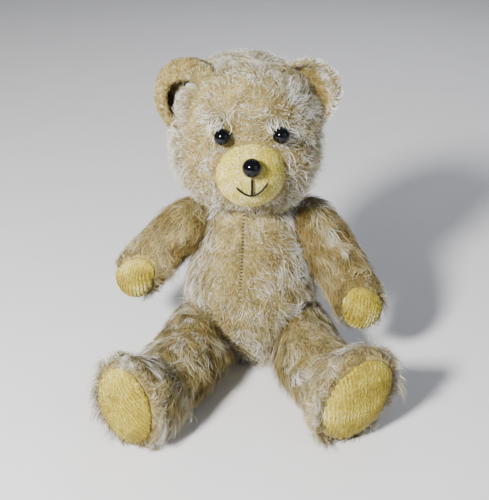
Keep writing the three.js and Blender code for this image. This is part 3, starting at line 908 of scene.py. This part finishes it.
@dataclass
class Torso:
    """The body's skin, its closing seam and its coat."""

    voxel: float = 3.0
    seam_top: float = 146.0
    seam_bottom: float = 24.0
    seam_x: tuple[float, float] = (-5.5, -11.0)
    bare_above: float = 84.0  # the height above which the worn pile shows the stitches
    stitch_pitch: float = 2.7
    stitch_length: float = 2.3
    stitch_radius: float = 0.5

    def seam_at(self, z: float | np.ndarray) -> float | np.ndarray:
        """The seam's x at a height, or at each of many."""
        down = (self.seam_top - z) / (self.seam_top - self.seam_bottom)
        return self.seam_x[0] + (self.seam_x[1] - self.seam_x[0]) * down

    def build_skin(self) -> bpy.types.Object:
        """Makes the stuffed skin, drawn in along the seam.

        Returns:
            The skin.
        """
        bm = rounded_solid(["body_cover", "body_stuffing"], self.voxel, 4)
        for vert in bm.verts:
            x, y, z = (c / MM for c in vert.co)
            if y < -15 and z < self.seam_top:
                away = abs(x - self.seam_at(z))
                vert.co.y += 1.3 * MM * math.exp(-((away / 2.6) ** 2))
        mesh = settled("body_skin", bm, SMOOTHED)
        skin = shown("body_skin", mesh, BACKING)
        return seat(skin, "body", "mohair", "body_cover")

    def build_seam(self, skin: bpy.types.Object) -> bpy.types.Object:
        """Sews small stitches across the seam, pulled into the cloth.

        Args:
            skin: the body's skin.

        Returns:
            The stitches as one piece.
        """
        bm = bmesh.new()
        tilt = np.random.default_rng(41)
        z = self.seam_top - 4
        while z > self.seam_bottom + 4:
            middle = self.seam_at(z)
            lean = tilt.uniform(-0.5, 0.5)
            line = []
            for share in (-0.5, -0.25, 0.0, 0.25, 0.5):
                x = (middle + share * self.stitch_length) * MM
                start = Vector((x, -0.2, (z + share * lean) * MM))
                hit, place, normal, _ = skin.ray_cast(start, Vector((0, 1, 0)))
                if hit:
                    proud = 0.9 if z > self.bare_above else -0.1
                    sunk = 0.2 if abs(share) > 0.4 else -proud
                    line.append(place - normal * sunk * MM)
            if len(line) == 5:
                add_tube(bm, line, self.stitch_radius * MM)
            z -= self.stitch_pitch
        seam = shown("closing_stitches", settled("closing_stitches", bm, []), COTTON)
        return seat(seam, "body", "brown_thread", "front_seam")

    def build_coats(self, skin: bpy.types.Object) -> None:
        """Grows the rubbed nap and the long worn coat.

        Args:
            skin: the body's skin.
        """
        swirl, patch = Drift(5, 34), Drift(6, 26)

        def comb(p: Points, n: Points) -> np.ndarray:
            """Down, and away from the seam, in long swirls."""
            aside = np.sign(p[:, 0] + 8)[:, None] * np.array([0.55, 0, 0])
            return aside + np.array([0, -0.1, -0.85]) + 0.55 * swirl.at(p)

        def open_skin(p: Points, n: Points) -> np.ndarray:
            """0 on the joint faces and underneath, 1 elsewhere."""
            keep = (NECK.above(p) < -1.5).astype(float)
            for joint in LIMB_JOINTS:
                facing = n @ joint.axis > 0.93
                keep[facing & (joint.above(p) > -2.2) & (joint.aside(p) < PRESSED)] = 0
            keep[(p[:, 2] < 2.0) & (n[:, 2] < -0.8)] = 0
            return keep

        def worn(p: Points) -> np.ndarray:
            """How bald the body is: the chest most, mainly on its own right."""
            front = ramp(-p[:, 1], 5, 25)
            high = ramp(p[:, 2], 45, 85)
            right = ramp(-p[:, 0], -22, 20)
            middle = 1 - ramp(np.abs(p[:, 0]), 26, 42)
            bare = front * (0.55 + 0.4 * high * (0.3 + 0.7 * right)) * (0.3 + 0.7 * middle)
            return np.clip(bare + 0.15 * patch.at(p)[:, 0], 0, 1)

        def seam(p: Points, reach: float) -> np.ndarray:
            """1 on the closing seam, 0 about two reaches away."""
            return np.exp(-(((p[:, 0] - self.seam_at(p[:, 2])) / reach) ** 2)) * (p[:, 1] < -15)

        def edges(p: Points) -> np.ndarray:
            """1 round the joint faces, where the pile is whole and covers the gaps."""
            return np.max([np.exp(-((joint.above(p) / 9) ** 2)) for joint in LIMB_JOINTS], axis=0)

        def flare(p: Points, n: Points) -> np.ndarray:
            """The comb, turned out over the gaps beside the joints."""
            out = unit(p * np.array([1, 1, 0]) - np.array([0, -4, 0]))
            return comb(p, n) + 0.9 * edges(p)[:, None] * out

        Coat(
            "body_nap", "body", MOHAIR, seed=11,
            per_cm2=105, length=4.0, width=0.36, lift=0.55, clump=0.88, lock_mm=2.1, droop=0.1, wave=0.2,
            scatter=0.5, bends=2, mottle=0.13,
            density=lambda p, n: open_skin(p, n) * (1 - seam(p, 1.5) * ramp(p[:, 2], 75, 100)),
            growth=lambda p: 0.8 + 0.5 * (1 - worn(p)),
            fade=lambda p: 0.42 + 0.14 * patch.at(p)[:, 1] - 0.04 * worn(p) + 0.2 * seam(p, 3.5),
            comb=lambda p, n: comb(p, n) + np.array([-0.5, 0, 0]) * worn(p)[:, None],
        ).grow(skin)
        Coat(
            "body_coat", "body", MOHAIR, seed=12,
            per_cm2=80, length=15.0, width=0.25, lift=0.36, clump=0.66, lock_mm=3.4, droop=0.2, wave=0.5,
            mottle=0.2, ragged=0.3,
            density=lambda p, n: open_skin(p, n)
            * np.clip(1.0 - 1.5 * worn(p) + 0.3 * edges(p), 0.05, 1)
            * (1 - seam(p, 5.0) * ramp(p[:, 2], 60, 95)),
            growth=lambda p: 0.58 + 0.46 * (1 - worn(p)) + 0.15 * ramp(-p[:, 2], -50, -20),
            fade=lambda p: 0.72 + 0.14 * patch.at(p)[:, 2] + 0.15 * near(p, (15, -40, 75), (35, 40, 45)),
            comb=flare,
        ).grow(skin)

    def build(self) -> None:
        """Builds the torso."""
        skin = self.build_skin()
        self.build_seam(skin)
        self.build_coats(skin)


@dataclass(frozen=True)
class EarShape:
    """One ear's outline and how its rim folds: sizes in millimetres, angles in degrees."""

    base: tuple[float, float, float]  # the middle of the edge that is sewn into the head
    width: float  # half of it, over the fold
    height: float
    roll: float  # the fold's radius
    fold: float  # how far the rim turns over
    flap: float  # what lies beyond the fold
    lean: float
    turn: float
    sweep: float = 100.0  # to each side of its middle

    def place(self, share: float, bearing: float) -> Vector:
        """Where a point of the flap lies before the ear is leaned and turned.

        Args:
            share: how far out it is, from 0 to 1 at the cloth's edge.
            bearing: its direction from the middle, in radians.

        Returns:
            The place in metres.
        """
        reach = 1 / math.hypot(math.sin(bearing) / self.width, math.cos(bearing) / self.height)
        flat, fold = reach - self.roll, math.radians(self.fold)
        along = share * (flat + fold * self.roll + self.flap)
        angle = min(max(0.0, along - flat) / self.roll, fold)
        past = max(0.0, along - flat - fold * self.roll)
        out = min(along, flat) + self.roll * math.sin(angle) + past * math.cos(angle)
        forward = self.roll * (1 - math.cos(angle)) + past * math.sin(angle)
        out, forward = max(out, 1.0), forward + 0.5 * math.sin(5 * bearing) * share**3
        return Vector((out * math.sin(bearing), -forward, out * math.cos(bearing))) * MM


EARS = {
    Side.RIGHT: EarShape((-38, -6, 229), 29.5, 32, roll=6.5, fold=160, flap=8.0, lean=50, turn=24),
    Side.LEFT: EarShape((33, -1, 229), 25, 34, roll=9.0, fold=55, flap=3, lean=50, turn=-8),
}


@dataclass
class Head:
    """The head's skin, muzzle, eyes, nose, mouth, ears and coats."""

    voxel: float = 2.8
    muzzle_at: tuple[float, float, float] = (0.5, -34, 189)
    muzzle_size: tuple[float, float, float] = (26.5, 29, 28)
    eye_radius: float = 6.0
    nose_radius: float = 6.8
    mouth_top: float = 194.0
    mouth_bottom: float = 180.0
    mouth_corners: tuple[tuple[float, float], ...] = ((-11, 186.5), (11.5, 189.5))
    mouth_lift: float = 1.6  # how far the thread stands off the muzzle's cloth
    thread: float = 0.7
    button_tilt: float = 78.0  # degrees from upright, so that the buttons face forwards
    shank_radius: float = 1.1
    shank_length: float = 4.0
    muzzle_back: float = -34.0  # y of the plane where the muzzle's dome ends
    ear_cloth: float = 3.4  # thickness of an ear's two layers

    def muzzle_point(self, x: float, z: float, lift: float) -> Vector:
        """The place on the muzzle's front at x and height z, in metres."""
        mx, my, mz = self.muzzle_at
        a, b, c = self.muzzle_size
        share = math.sqrt(max(0.0, 1 - ((x - mx) / a) ** 2 - ((z - mz) / c) ** 2))
        return on_head(x, my - b * share - lift, z)

    def build_skin(self) -> bpy.types.Object:
        """Makes the stuffed skin.

        Returns:
            The skin.
        """
        bm = rounded_solid(["head_cover", "head_stuffing"], self.voxel, 4)
        mesh = settled("head_skin", bm, SMOOTHED)
        skin = shown("head_skin", mesh, BACKING)
        return seat(skin, "head", "mohair", "head_cover")

    def build_muzzle(self) -> bpy.types.Object:
        """Makes the round plush muzzle, a dome set into the face.

        Returns:
            The muzzle.
        """
        bm = bmesh.new()
        bmesh.ops.create_uvsphere(bm, u_segments=64, v_segments=40, radius=1)
        size = Vector(self.muzzle_size) * MM
        bmesh.ops.scale(bm, vec=size, verts=bm.verts)
        turn = Matrix.Rotation(HEAD_TURN, 3, "Z")
        bmesh.ops.rotate(bm, cent=(0, 0, 0), matrix=turn, verts=bm.verts)
        bmesh.ops.translate(bm, vec=on_head(*self.muzzle_at), verts=bm.verts)
        dome = cut(bm, Vector((0, self.muzzle_back * MM, 0)), Vector((0, 1, 0)))
        bm.free()
        mesh = settled("muzzle_skin", in_order(dome), SMOOTHED)
        muzzle = shown("muzzle_skin", mesh, VELVET)
        return seat(muzzle, "head", "plush", "muzzle")

    def button(self, name: str, node: str, radius: float, slot: str) -> bpy.types.Object:
        """Turns a domed button with a rim and a shank, where the frame has it.

        Args:
            name: the piece's name.
            node: the frame's node that it stands for.
            radius: the ball's radius.
            slot: the record's material slot.

        Returns:
            The button.
        """
        low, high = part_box(node)
        middle = Vector(((low.x + high.x) / 2, low.y + radius * MM, (low.z + high.z) / 2))
        bm = bmesh.new()
        dome = [math.radians(90 - i * 9) for i in range(15)]
        profile = [(radius * math.cos(angle), radius * math.sin(angle)) for angle in dome]
        thin, foot = self.shank_radius, -radius - self.shank_length
        profile += [(radius * 0.45, -radius * 0.78), (thin, -radius * 0.8), (thin, foot), (0, foot)]
        verts = [bm.verts.new((r * MM, 0, h * MM)) for r, h in profile]
        edges = [bm.edges.new(pair) for pair in zip(verts, verts[1:])]
        around = {"cent": (0, 0, 0), "axis": (0, 0, 1), "angle": 2 * math.pi}
        bmesh.ops.spin(bm, geom=verts + edges, steps=40, use_merge=True, **around)
        bmesh.ops.remove_doubles(bm, verts=bm.verts, dist=0.01 * MM)
        bmesh.ops.recalc_face_normals(bm, faces=bm.faces)
        turn = Matrix.Rotation(math.radians(self.button_tilt), 3, "X")
        bmesh.ops.rotate(bm, cent=(0, 0, 0), matrix=turn, verts=bm.verts)
        bmesh.ops.translate(bm, vec=middle, verts=bm.verts)
        piece = shown(name, settled(name, in_order(bm), []), JET)
        return seat(piece, "head", slot, node)

    def build_mouth(self) -> bpy.types.Object:
        """Sews the mouth: a line down from the nose and a curve to each side.

        Returns:
            The mouth.
        """
        bm = bmesh.new()
        drop = self.mouth_bottom - self.mouth_top
        heights = [self.mouth_top + drop * s / 8 for s in range(9)]
        fall = [self.muzzle_point(0, height, self.mouth_lift) for height in heights]
        add_tube(bm, fall, self.thread * 1.15 * MM, 8)
        for x, z in self.mouth_corners:
            curve = []
            for t in (s / 10 for s in range(11)):
                height = self.mouth_bottom + (z - self.mouth_bottom) * (0.25 * t + 0.75 * t * t)
                curve.append(self.muzzle_point(x * t, height, self.mouth_lift))
            add_tube(bm, curve, self.thread * MM, 8)
        mouth = shown("mouth_thread", settled("mouth_thread", bm, []), WAXED)
        return seat(mouth, "head", "black_thread", "mouth_stitches")

    def build_ear(self, side: Side) -> bpy.types.Object:
        """Shapes one ear from a flap of two layers.

        Args:
            side: which ear.

        Returns:
            The ear.
        """
        shape, name = EARS[side], f"ear_{side.word}_flap"
        bm = bmesh.new()
        bmesh.ops.create_grid(bm, x_segments=28, y_segments=22, size=1)
        sweep = math.radians(shape.sweep)
        for vert in bm.verts:
            vert.co = shape.place(0.1 + 0.45 * (vert.co.y + 1), vert.co.x * sweep)
        turn = Matrix.Rotation(math.radians(shape.turn) * side.value, 3, "Z")
        tilt = Matrix.Rotation(math.radians(shape.lean) * side.value, 3, "Y")
        for vert in bm.verts:
            vert.co = turn @ (tilt @ vert.co) + Vector(shape.base) * MM
        bmesh.ops.recalc_face_normals(bm, faces=bm.faces)
        cloth = ("SOLIDIFY", {"thickness": self.ear_cloth * MM, "offset": 0.0})
        ear = shown(name, settled(name, bm, [cloth, *SMOOTHED]), BACKING)
        return seat(ear, "head", "mohair", f"ear_{side.word}")

    def grow_ear(self, ear: bpy.types.Object, side: Side, patch: Drift) -> None:
        """Grows an ear's pile: golden where it is folded shut, else pale with a deep hollow.

        Args:
            ear: the ear.
            side: which ear it is.
            patch: the head's patches of fade.
        """
        shape, folded = EARS[side], side is Side.RIGHT
        base = np.array(shape.base, float)

        def fade(p: Points) -> np.ndarray:
            """How faded each fibre is."""
            if folded:
                return 0.34 + 0.14 * patch.at(p)[:, 0]
            hollow = 1 - ramp(np.linalg.norm(p - base, axis=1) / shape.height, 0.52, 0.78)
            return 0.8 - 0.62 * hollow + 0.12 * patch.at(p)[:, 0]

        Coat(
            f"ear_{side.word}_pile", "head", MOHAIR, seed=24 + side.value,
            per_cm2=190, length=3.2 if folded else 4.6, width=0.34, lift=0.45, clump=0.55,
            lock_mm=2.4, droop=0.05, wave=0.25, scatter=0.5, bends=3,
            fade=fade,
            comb=lambda p, n: unit(p - base),
        ).grow(ear)

    def build_coats(
        self,
        skin: bpy.types.Object,
        muzzle: bpy.types.Object,
        ears: dict[Side, bpy.types.Object],
        hard: list[bpy.types.Object],
    ) -> None:
        """Grows the face's nap, the long coat, the ears' plush and the muzzle's pile.

        Args:
            skin: the head's skin.
            muzzle: the muzzle.
            ears: both ears.
            hard: the eyes and nose.
        """
        swirl, patch = Drift(7, 30), Drift(8, 22)
        clear = away_from([muzzle], 1.3)
        eyes = away_from(hard, 1.2)

        def comb(p: Points, n: Points) -> np.ndarray:
            """Out from the muzzle over the face, then back and down."""
            fall = np.array([0.0, 0.25, -0.45]) * ramp(p[:, 1], -30, 20)[:, None]
            return unit(p - np.array([-6.0, -52.0, 200.0])) + fall + 0.5 * swirl.at(p)

        def open_skin(p: Points, n: Points) -> np.ndarray:
            """0 on the neck face, under the muzzle and at the eyes, 1 elsewhere."""
            keep = clear(p) * eyes(p)
            keep[(NECK.above(p) < 2.0) & (n[:, 2] < -0.85)] = 0
            return keep

        def face(p: Points) -> np.ndarray:
            """1 on the rubbed face, 0 at the sides, top and back."""
            d = unit(p - (HEAD_MIDDLE + np.array([0, 0, 207])))
            return ramp(-d[:, 1] - 0.32 * np.abs(d[:, 0] + 0.3) - 0.12 * np.abs(d[:, 2]), 0.0, 0.42)

        def cheek(p: Points) -> np.ndarray:
            """1 on the right cheek, worn to its ground."""
            return near(p, (-32, -36, 204), (15, 22, 20))

        def ear_mouth(p: Points) -> np.ndarray:
            """1 in front of the right ear's fold, where the long pile has gone."""
            return near(p, (-36, -16, 233), (8, 9, 10))

        def brows(p: Points) -> np.ndarray:
            """1 on the tufts left over the eyes."""
            return near(p, (-22.5, -46, 229), (8, 16, 5)) + near(p, (15, -48, 228), (8, 16, 5))

        def left_long(p: Points) -> np.ndarray:
            """How much of the long pile is left: little on the face, more on the brows."""
            left = 1 - 0.87 * face(p) + 0.4 * brows(p) + 0.12 * patch.at(p)[:, 0]
            return np.clip(left, 0.05, 1)

        Coat(
            "head_nap", "head", MOHAIR, seed=21,
            per_cm2=115, length=3.6, width=0.36, lift=0.6, clump=0.9, lock_mm=1.9, droop=0.05, wave=0.3,
            scatter=0.8, bends=2, mottle=0.17,
            density=open_skin,
            growth=lambda p: 0.85 + 0.35 * (1 - face(p)),
            fade=lambda p: 0.5 + 0.14 * patch.at(p)[:, 1] - 0.24 * cheek(p),
            comb=comb,
        ).grow(skin)
        Coat(
            "head_coat", "head", MOHAIR, seed=22,
            per_cm2=100, length=14.5, width=0.24, lift=0.46, clump=0.6, lock_mm=3.2, droop=0.16, wave=0.6,
            mottle=0.2, ragged=0.3,
            density=lambda p, n: open_skin(p, n)
            * (1 - 0.85 * ear_mouth(p))
            * (1 - 0.6 * cheek(p))
            * left_long(p),
            growth=lambda p: 1 - 0.42 * face(p) + 0.1 * brows(p) - 0.25 * ramp(p[:, 2], 235, 258),
            fade=lambda p: 0.72 + 0.14 * patch.at(p)[:, 2] + 0.2 * brows(p),
            comb=lambda p, n: comb(p, n) - brows(p)[:, None] * np.array([0, 0, 1.3]),
        ).grow(skin)
        Coat(
            "brow_wisps", "head", MOHAIR, seed=23,
            per_cm2=55, length=14.0, width=0.42, lift=0.75, clump=0.4, lock_mm=4.0, droop=0.4, wave=0.5,
            scatter=0.5,
            density=lambda p, n: open_skin(p, n) * (brows(p) > 0.45),
            fade=lambda p: np.full(len(p), 0.95),
            comb=lambda p, n: -UP + 0.6 * swirl.at(p),
        ).grow(skin)
        for side, ear in ears.items():
            self.grow_ear(ear, side, patch)

        def muzzle_fade(p: Points) -> np.ndarray:
            """Ribs of pale and deep pile, whiter round the nose."""
            rib = ribs(p[:, 0] + 0.25 * p[:, 2], 2.4)
            white = near(p, (-5, -66, 201), (13, 16, 13))
            return 0.64 + 0.24 * rib + 0.14 * patch.at(p)[:, 2] + 0.3 * white

        Coat(
            "muzzle_pile", "head", PLUSH, seed=31,
            per_cm2=300, length=1.7, width=0.4, lift=0.5, clump=0.3, lock_mm=1.6, droop=0.0, wave=0.1,
            scatter=0.35, bends=2, spread=0.06, mottle=0.05, ragged=0.1,
            density=lambda p, n: eyes(p) * (n[:, 1] < 0.6),
            fade=muzzle_fade,
            comb=lambda p, n: unit(p - np.array([-5, -66, 204])) + np.array([0, 0, -0.3]),
        ).grow(muzzle)

    def build(self) -> None:
        """Builds the head."""
        skin = self.build_skin()
        muzzle = self.build_muzzle()
        hard = [
            self.button("eye_right_button", "eye_right", self.eye_radius, "eye_button"),
            self.button("eye_left_button", "eye_left", self.eye_radius, "eye_button"),
            self.button("nose_button", "nose", self.nose_radius, "eye_button"),
        ]
        self.build_mouth()
        ears = {side: self.build_ear(side) for side in Side}
        self.build_coats(skin, muzzle, ears, hard)


@dataclass
class Limb:
    """An arm or a leg: a stuffed skin, a pad sewn into its end, and their coats."""

    side: Side
    kind: str  # arm or leg
    pad_node: str
    joint: Joint
    start: tuple[float, float, float]  # the middle of the shoulder or thigh
    end: tuple[float, float, float]  # the middle of the paw or sole
    seam_point: tuple[float, float, float]
    seam_normal: tuple[float, float, float]
    voxel: float
    hair: float  # the long pile's length
    crown: float  # how far the pad bulges past the seam
    bleach: float  # how faded its long pile is
    row_tilt: float  # lean of the pad's pile rows, in degrees
    seed: int
    row_pitch: float = 2.6  # mm between the pad's rows

    @property
    def body(self) -> str:
        """The body that it rides on."""
        return f"{self.kind}_{self.side.word}"

    def build_skins(self) -> tuple[bpy.types.Object, bpy.types.Object]:
        """Makes the limb's skin and its pad from one smooth form, parted at the seam.

        Returns:
            The skin and the pad.
        """
        name = self.body
        form = rounded_solid([f"{name}_cover", f"{name}_stuffing", self.pad_node], self.voxel, 4)
        point = Vector(self.seam_point) * MM
        normal = Vector(self.seam_normal).normalized()
        middle = Vector(self.end) * MM
        for vert in form.verts:
            depth = (vert.co - point).dot(normal) / MM
            pinch = 1.1 * math.exp(-((depth / 2.0) ** 2))
            inward = middle - vert.co
            inward -= normal * inward.dot(normal)
            if inward.length > 4 * MM:
                vert.co += inward.normalized() * pinch * MM
        pad_form = cut(form, point, -normal)
        limb_form = cut(form, point, normal)
        form.free()
        for vert in pad_form.verts:
            depth = (vert.co - point).dot(normal) / MM
            vert.co += normal * self.crown * MM * min(1.0, max(0.0, depth / 6))
        skin = shown(f"{name}_skin", settled(f"{name}_skin", limb_form, SMOOTHED), BACKING)
        pad = shown(f"{self.pad_node}_skin", settled(self.pad_node, pad_form, SMOOTHED), VELVET)
        seat(skin, name, "mohair", f"{name}_cover")
        seat(pad, name, "plush", self.pad_node)
        return skin, pad

    def build_coats(self, skin: bpy.types.Object, patch: Drift) -> None:
        """Grows the limb's nap and its long coat.

        Args:
            skin: the limb's skin.
            patch: the limb's patches of fade.
        """
        swirl = Drift(self.seed, 28)
        start = np.array(self.start)
        along = unit(np.array(self.end) - start)
        seam_point = np.array(self.seam_point)
        seam_normal = unit(np.array(self.seam_normal, float))
        joint_out = self.joint.axis

        def open_skin(p: Points, n: Points) -> np.ndarray:
            """0 on the joint face, past the pad's seam and underneath, 1 elsewhere."""
            keep = np.ones(len(p))
            pressed = (self.joint.above(p) < 2.2) & (self.joint.aside(p) < PRESSED)
            keep[(n @ joint_out < -0.9) & pressed] = 0
            keep[(p - seam_point) @ seam_normal > -0.6] = 0
            keep[(p[:, 2] < 1.2) & (n[:, 2] < -0.9)] = 0
            return keep

        def inner(p: Points) -> np.ndarray:
            """1 where the limb faces the body, where its pile is drawn darker."""
            return ramp(-(p - start) @ joint_out, -14, 14)

        def cuff(p: Points, reach: float) -> np.ndarray:
            """1 at the pad's seam, 0 a reach before it."""
            return 1 - ramp(-((p - seam_point) @ seam_normal), 0, reach)

        def comb(p: Points, n: Points) -> np.ndarray:
            """Along the limb, falling at its sides, in swirls, and out round its pad."""
            flow = along + np.array([0, 0, -0.35]) + 0.6 * swirl.at(p)
            spread = p - seam_point
            spread = unit(spread - (spread @ seam_normal)[:, None] * seam_normal)
            share = cuff(p, 11)[:, None]
            return flow * (1 - share) + (spread - 0.2 * seam_normal + 0.3 * swirl.at(p)) * share

        Coat(
            f"{self.body}_nap", self.body, MOHAIR, seed=self.seed + 2,
            per_cm2=80, length=5.0, width=0.38, lift=0.5, clump=0.72, lock_mm=2.6, droop=0.1, wave=0.2,
            scatter=0.5, bends=2, mottle=0.13,
            density=open_skin,
            fade=lambda p: 0.1 + 0.35 * self.bleach + 0.15 * patch.at(p)[:, 1] - 0.15 * inner(p),
            comb=comb,
        ).grow(skin)
        Coat(
            f"{self.body}_coat", self.body, MOHAIR, seed=self.seed + 3,
            per_cm2=110, length=self.hair, width=0.25, lift=0.38, clump=0.7, lock_mm=3.6, droop=0.2,
            wave=0.5, mottle=0.22, ragged=0.3,
            density=lambda p, n: open_skin(p, n)
            * np.clip(0.85 + 0.2 * patch.at(p)[:, 2] - 0.3 * inner(p), 0.1, 1),
            growth=lambda p: 0.95 + 0.1 * patch.at(p)[:, 0] - 0.35 * cuff(p, 5),
            fade=lambda p: self.bleach + 0.2 * patch.at(p)[:, 0] - 0.25 * inner(p),
            comb=comb,
        ).grow(skin)

    def build_rows(self, pad: bpy.types.Object, patch: Drift) -> None:
        """Grows the pad's rows of pile.

        Args:
            pad: the pad.
            patch: the limb's patches of fade.
        """
        end = np.array(self.end)
        seam_normal = unit(np.array(self.seam_normal, float))
        level = unit(np.cross(seam_normal, UP))
        rise = np.cross(level, seam_normal)
        angle = math.radians(self.row_tilt)
        across = level * math.cos(angle) + rise * math.sin(angle)
        row_line = rise * math.cos(angle) - level * math.sin(angle)

        def fade(p: Points) -> np.ndarray:
            """Pale and deep rows, with painted sheen in pale streaks and painted shade deeper below."""
            # Painted shade: the pile is drawn darker towards the pad's lower end.
            low = ramp(-(p - end) @ rise, 0, 34)
            # Painted sheen: pale patches where the light catches the rubbed pile.
            painted_sheen = 0.5 + 0.5 * patch.at(p)[:, 0]
            return ribs(p @ across, self.row_pitch) * (0.28 + 0.55 * painted_sheen) + 0.14 * painted_sheen - 0.2 * low

        Coat(
            f"{self.pad_node}_pile", self.body, PLUSH, seed=self.seed + 4,
            per_cm2=300, length=2.2, width=0.4, lift=0.5, clump=0.3, lock_mm=1.6, droop=0.1, wave=0.1,
            scatter=0.25, bends=2, spread=0.06, mottle=0.06, ragged=0.1,
            density=lambda p, n: (n @ seam_normal > -0.75).astype(float),
            growth=lambda p: 0.3 + 1.1 * ribs(p @ across, self.row_pitch),
            fade=fade,
            comb=lambda p, n: np.broadcast_to(-row_line + 0.15 * across, p.shape),
        ).grow(pad)

    def build(self) -> None:
        """Builds the limb."""
        skin, pad = self.build_skins()
        patch = Drift(self.seed + 1, 20)
        self.build_coats(skin, patch)
        self.build_rows(pad, patch)


def limbs() -> list[Limb]:
    """Both arms and both legs, with their places from the frame.

    Returns:
        The four limbs.
    """
    arm_reach = {Side.RIGHT: (-49, 12, -58), Side.LEFT: (41, -30, -59)}
    palms = {Side.RIGHT: (-0.45, -0.85, -0.25), Side.LEFT: (0.2, -0.95, -0.1)}
    soles = {Side.RIGHT: (-93, -131, 40), Side.LEFT: (81, -122, 40)}
    sole_rows = {Side.RIGHT: -35, Side.LEFT: 0}
    arm_standoff, pad_up, seam_out = 10.5, 6, 8.6
    leg_standoff, pad_depth = 17, 7.5
    arm_build = {"voxel": 2.4, "hair": 13.0, "crown": 0.6, "bleach": 0.2, "row_tilt": 10}
    leg_build = {"voxel": 2.8, "hair": 15.0, "crown": 1.5, "bleach": 0.58}
    made = []
    for side in Side:
        shoulder, hip = SHOULDERS[side], HIPS[side]
        start = np.array(shoulder.at) + arm_standoff * unit(np.array(shoulder.out))
        paw = start + np.array(arm_reach[side])
        palm = unit(np.array(palms[side]))
        seam = paw - unit(paw - start) * pad_up + palm * seam_out
        places = (tuple(start), tuple(paw), tuple(seam), tuple(palm))
        seed = 50 + 10 * side.value
        made.append(Limb(side, "arm", f"paw_pad_{side.word}", shoulder, *places, seed=seed, **arm_build))
        thigh = np.array(hip.at) + leg_standoff * unit(np.array(hip.out))
        sole = np.array(soles[side], float)
        level = unit(np.array([sole[0] - thigh[0], sole[1] - thigh[1], 0]))
        places = (tuple(thigh), tuple(sole), tuple(sole - level * pad_depth), tuple(level))
        rest = {"row_tilt": sole_rows[side], "seed": 80 + 10 * side.value, **leg_build}
        made.append(Limb(side, "leg", f"sole_pad_{side.word}", hip, *places, **rest))
    return made


def dress_hidden_parts() -> None:
    """Gives the stuffing, discs, washers and pins that the frame carries their own finishes."""
    for name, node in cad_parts.items():
        if name.endswith("_stuffing"):
            finish = WOOD_WOOL
        elif name.endswith("_disc"):
            finish = HARDBOARD
        elif name.endswith(("_washer", "_pin")):
            finish = ZINC
        else:
            continue
        node.data.materials.clear()
        node.data.materials.append(finish.build())


# ---------------------------------------------------------------------------------------------
# Stage, light and camera


@dataclass
class Studio:
    """A plain pale floor, soft lights and the camera."""

    camera_at: tuple[float, float, float] = (0.0, -0.618, 0.4486)
    camera_to: tuple[float, float, float] = (-0.0052, -0.0086, 0.1038)
    lens: float = 63.0

    def build_floor(self) -> None:
        """Lays the floor."""
        bm = bmesh.new()
        bmesh.ops.create_grid(bm, x_segments=1, y_segments=1, size=3)
        tones = {"light": "#d9d7d3", "dark": "#d5d3cf"}
        finish = Smooth("plain pale floor", roughness=0.9, grain_mm=60, bump=0.0, **tones)
        shown("floor", settled("floor", bm, []), finish)

    def build_camera(self) -> None:
        """Sets the camera."""
        data = bpy.data.cameras.new("camera")
        data.lens = self.lens
        data.sensor_width = 36
        data.clip_start = 0.01
        camera = bpy.data.objects.new("camera", data)
        camera.location = self.camera_at
        ahead = Vector(self.camera_to) - Vector(self.camera_at)
        camera.rotation_euler = ahead.to_track_quat("-Z", "Y").to_euler()
        bpy.context.scene.collection.objects.link(camera)
        bpy.context.scene.camera = camera

    def add_light(
        self, name: str, place: Sequence[float], size: float, power: float, tint: str
    ) -> None:
        """Adds one soft lamp that faces the bear.

        Args:
            name: the lamp's name.
            place: where it hangs, in metres.
            size: its width in metres.
            power: its power in watts.
            tint: its colour.
        """
        data = bpy.data.lights.new(name, "AREA")
        data.shape = "DISK"
        data.size = size
        data.energy = power
        data.color = linear(tint)[:3]
        lamp = bpy.data.objects.new(name, data)
        lamp.location = place
        ahead = Vector((0, -0.02, 0.1)) - Vector(place)
        lamp.rotation_euler = ahead.to_track_quat("-Z", "Y").to_euler()
        bpy.context.scene.collection.objects.link(lamp)

    def build(self) -> None:
        """Sets up the stage."""
        self.build_camera()
        self.build_floor()
        self.add_light("key", (-0.6, -0.85, 0.8), 0.2, 52, "#fdfcff")
        self.add_light("fill", (0.9, -0.7, 0.6), 1.0, 3.0, "#e8efff")
        self.add_light("back", (0.3, 0.9, 0.9), 0.8, 5, "#eef2ff")
        world = bpy.data.worlds.new("room")
        world.use_nodes = True
        sky = world.node_tree.nodes["Background"]
        sky.inputs["Color"].default_value = linear("#d9e1ef")
        sky.inputs["Strength"].default_value = 0.27
        bpy.context.scene.world = world


def main() -> None:
    """Builds the whole bear and finishes the scene."""
    logging.basicConfig(level=logging.INFO, format="%(message)s")
    Studio().build()
    dress_hidden_parts()
    Torso().build()
    Head().build()
    for limb in limbs():
        limb.build()


if __name__ == "__main__":
    main()
